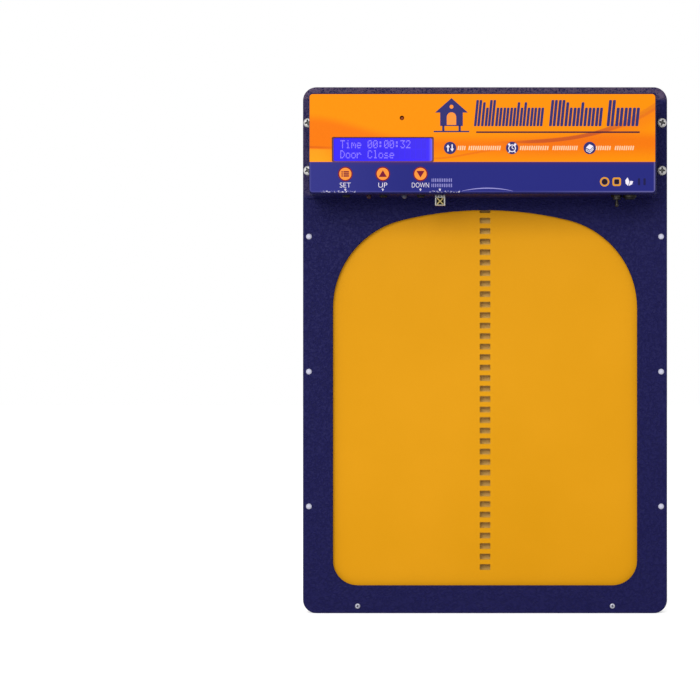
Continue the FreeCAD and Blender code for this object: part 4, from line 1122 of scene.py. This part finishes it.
class COOP_OT_underside(bpy.types.Operator):
    """Lamps, receiver, buttons, power switch and inlet under the box"""
    bl_idname = "coop.underside"
    bl_label = "Underside fittings"

    def execute(self, context):
        finish_nodes(lens("red_lens", paint(38, 4, 9)), "status_led")
        finish_nodes(lens("clear_lens", paint(66, 66, 80)), "motor_led")
        finish_nodes(lens("sensor_lens", paint(150, 62, 14)), "light_sensor")
        finish_nodes(screen_tin("tin_plate"), "ir_shield")
        finish_nodes(bare_metal("lead_tin", (0.40, 0.38, 0.35), 0.4, 1000.0), "ir_leads")
        finish_nodes(lens("infrared_lens", paint(12, 8, 10)), "ir_lens")
        # Painted shade: the switch and socket metal is made near-black to stand in for the shade under the
        # box.
        nickel = bare_metal("shade_darkened_nickel", (0.030, 0.027, 0.024), 0.38, 1100.0)
        finish_nodes(nickel, "toggle_bushing", "toggle_nut", "toggle_lever", "dc_socket_nut", "dc_centre_pin")
        black = moulded("black_moulding", paint(18, 17, 18), 0.5, shine=0.1)
        finish_nodes(black, "dc_socket", "toggle_body", *BUTTON_NODES)
        return {"FINISHED"}


class COOP_OT_works(bpy.types.Operator):
    """Drive, boards, battery and wiring inside the box"""
    bl_idname = "coop.works"
    bl_label = "Inner works"

    def execute(self, context):
        along_x = (0.06, 1.0, 1.0)
        steel = bare_metal("drawn_steel", (0.56, 0.56, 0.57), 0.32, 700.0, along_x)
        finish_nodes(steel, "output_shaft", "gearbox", "motor", "grub_screw")
        zinc_sheet = bare_metal("zinc_sheet", (0.62, 0.63, 0.65), 0.38, 260.0)
        finish_nodes(zinc_sheet, "motor_bracket", "bearing_bracket")
        brass = bare_metal("turned_brass", (0.80, 0.60, 0.28), 0.3, 900.0)
        finish_nodes(brass, "bearing_bush", "board_standoffs")
        springs = bare_metal("contact_plate", (0.72, 0.70, 0.66), 0.28, 800.0)
        finish_nodes(springs, "battery_contacts", "clock_cell")
        finish_nodes(bare_metal("capacitor_can", (0.52, 0.55, 0.66), 0.3, 900.0), "capacitors")
        finish_nodes(circuit("solder_mask"), "display_board", "button_board", "main_board")
        chips = moulded("chip_moulding", paint(28, 28, 30), 0.55)
        finish_nodes(chips, "microcontroller", "motor_driver", "push_switches")
        housing = moulded("black_housing", paint(20, 20, 22), 0.48)
        finish_nodes(housing, "battery_holder", "display_standoffs")
        finish_nodes(moulded("plug_housing", paint(222, 216, 200), 0.5), "board_sockets")
        finish_nodes(moulded("acetal", paint(232, 230, 222), 0.4), "drive_sprocket")
        finish_nodes(satin_coat("cell_wrap", paint(34, 96, 52)), "battery_cells")
        wires = moulded("wire_cover", paint(150, 22, 22), 0.45)
        finish_nodes(wires, "motor_wires", "battery_wires", "socket_wires")
        finish_nodes(moulded("ribbon_cover", paint(120, 122, 126), 0.5), "display_ribbon")
        return {"FINISHED"}


# Power of the side light as a share of the key light's.
SIDE_SHARE = 0.12
# Shares of the view's width by which it is shifted left and up from the lens's own axis.
LENS_SHIFT = (-0.1929, 0.0486)


class COOP_OT_stage(bpy.types.Operator):
    """White floor, soft studio light and the camera"""
    bl_idname = "coop.stage"
    bl_label = "Studio"

    def execute(self, context):
        settings = context.scene.coop_stage
        context.scene.view_settings.view_transform = "Standard"
        make_floor()
        make_world(context.scene, settings)
        aim = Vector((0.0, 0.0, 0.02))
        make_soft_box("key_box", (-0.35, -1.95, 0.80), aim, (1.3, 1.1), settings.key_power)
        make_soft_box("left_box", (-1.4, -1.4, 0.3), aim, (0.7, 1.4), settings.key_power * SIDE_SHARE)
        make_camera(context.scene, settings)
        return {"FINISHED"}


def make_floor():
    """Large flat floor just under the frame's lower edge."""
    half = 14.0
    corners = [(x * half, y * half, PLATE_LOW.z) for x, y in ((-1, -1), (1, -1), (1, 1), (-1, 1))]
    mesh = bpy.data.meshes.new("floor")
    mesh.from_pydata(corners, [], [(0, 1, 2, 3)])
    mesh.materials.append(floor_paint("floor_paint"))
    floor = bpy.data.objects.new("floor", mesh)
    bpy.context.scene.collection.objects.link(floor)


def make_world(scene, settings):
    """Even white surroundings, which are the soft light's fill."""
    world = bpy.data.worlds.new("studio")
    world.use_nodes = True
    ground = world.node_tree.nodes["Background"]
    ground.inputs["Color"].default_value = (1.0, 1.0, 1.0, 1.0)
    ground.inputs["Strength"].default_value = settings.ambient
    scene.world = world


def make_soft_box(name, place, aim, size, power):
    """Rectangular area light that faces the aimed point."""
    light = bpy.data.lights.new(name, "AREA")
    light.shape = "RECTANGLE"
    light.size, light.size_y = size
    light.energy = power
    holder = bpy.data.objects.new(name, light)
    holder.location = place
    holder.rotation_euler = (aim - Vector(place)).to_track_quat("-Z", "Y").to_euler()
    bpy.context.scene.collection.objects.link(holder)


def make_camera(scene, settings):
    """Long lens square to the face plate, with the door set to the right of the view."""
    data = bpy.data.cameras.new("camera")
    data.lens = settings.lens_length
    data.shift_x, data.shift_y = LENS_SHIFT
    camera = bpy.data.objects.new("camera", data)
    camera.location = (0.0, PLATE_LOW.y - settings.distance, PLATE_LOW.z + settings.eye_height)
    camera.rotation_euler = (math.pi / 2, 0.0, 0.0)
    scene.collection.objects.link(camera)
    scene.camera = camera


OPERATORS = (COOP_OT_frame, COOP_OT_door, COOP_OT_fasteners, COOP_OT_label, COOP_OT_display,
             COOP_OT_underside, COOP_OT_works, COOP_OT_stage)


class COOP_PT_panel(bpy.types.Panel):
    """Sidebar list of the coop door's pieces and their settings"""
    bl_idname = "COOP_PT_panel"
    bl_label = "Automatic Coop Door"
    bl_space_type = "VIEW_3D"
    bl_region_type = "UI"
    bl_category = "Coop Door"

    def draw(self, context):
        for operator in OPERATORS:
            self.layout.operator(operator.bl_idname)
        for name, group in SETTINGS.items():
            box = self.layout.box()
            for key in group.__annotations__:
                box.prop(getattr(context.scene, name), key)


def register():
    for group in SETTINGS.values():
        bpy.utils.register_class(group)
    for name, group in SETTINGS.items():
        setattr(bpy.types.Scene, name, PointerProperty(type=group))
    for entry in (*OPERATORS, COOP_PT_panel):
        bpy.utils.register_class(entry)


def unregister():
    for entry in reversed((*OPERATORS, COOP_PT_panel)):
        bpy.utils.unregister_class(entry)
    for name in SETTINGS:
        delattr(bpy.types.Scene, name)
    for group in reversed(list(SETTINGS.values())):
        bpy.utils.unregister_class(group)


def main():
    register()
    bpy.ops.coop.frame()
    bpy.ops.coop.door()
    bpy.ops.coop.fasteners()
    bpy.ops.coop.label()
    bpy.ops.coop.display()
    bpy.ops.coop.underside()
    bpy.ops.coop.works()
    bpy.ops.coop.stage()


if __name__ == "__main__":
    main()
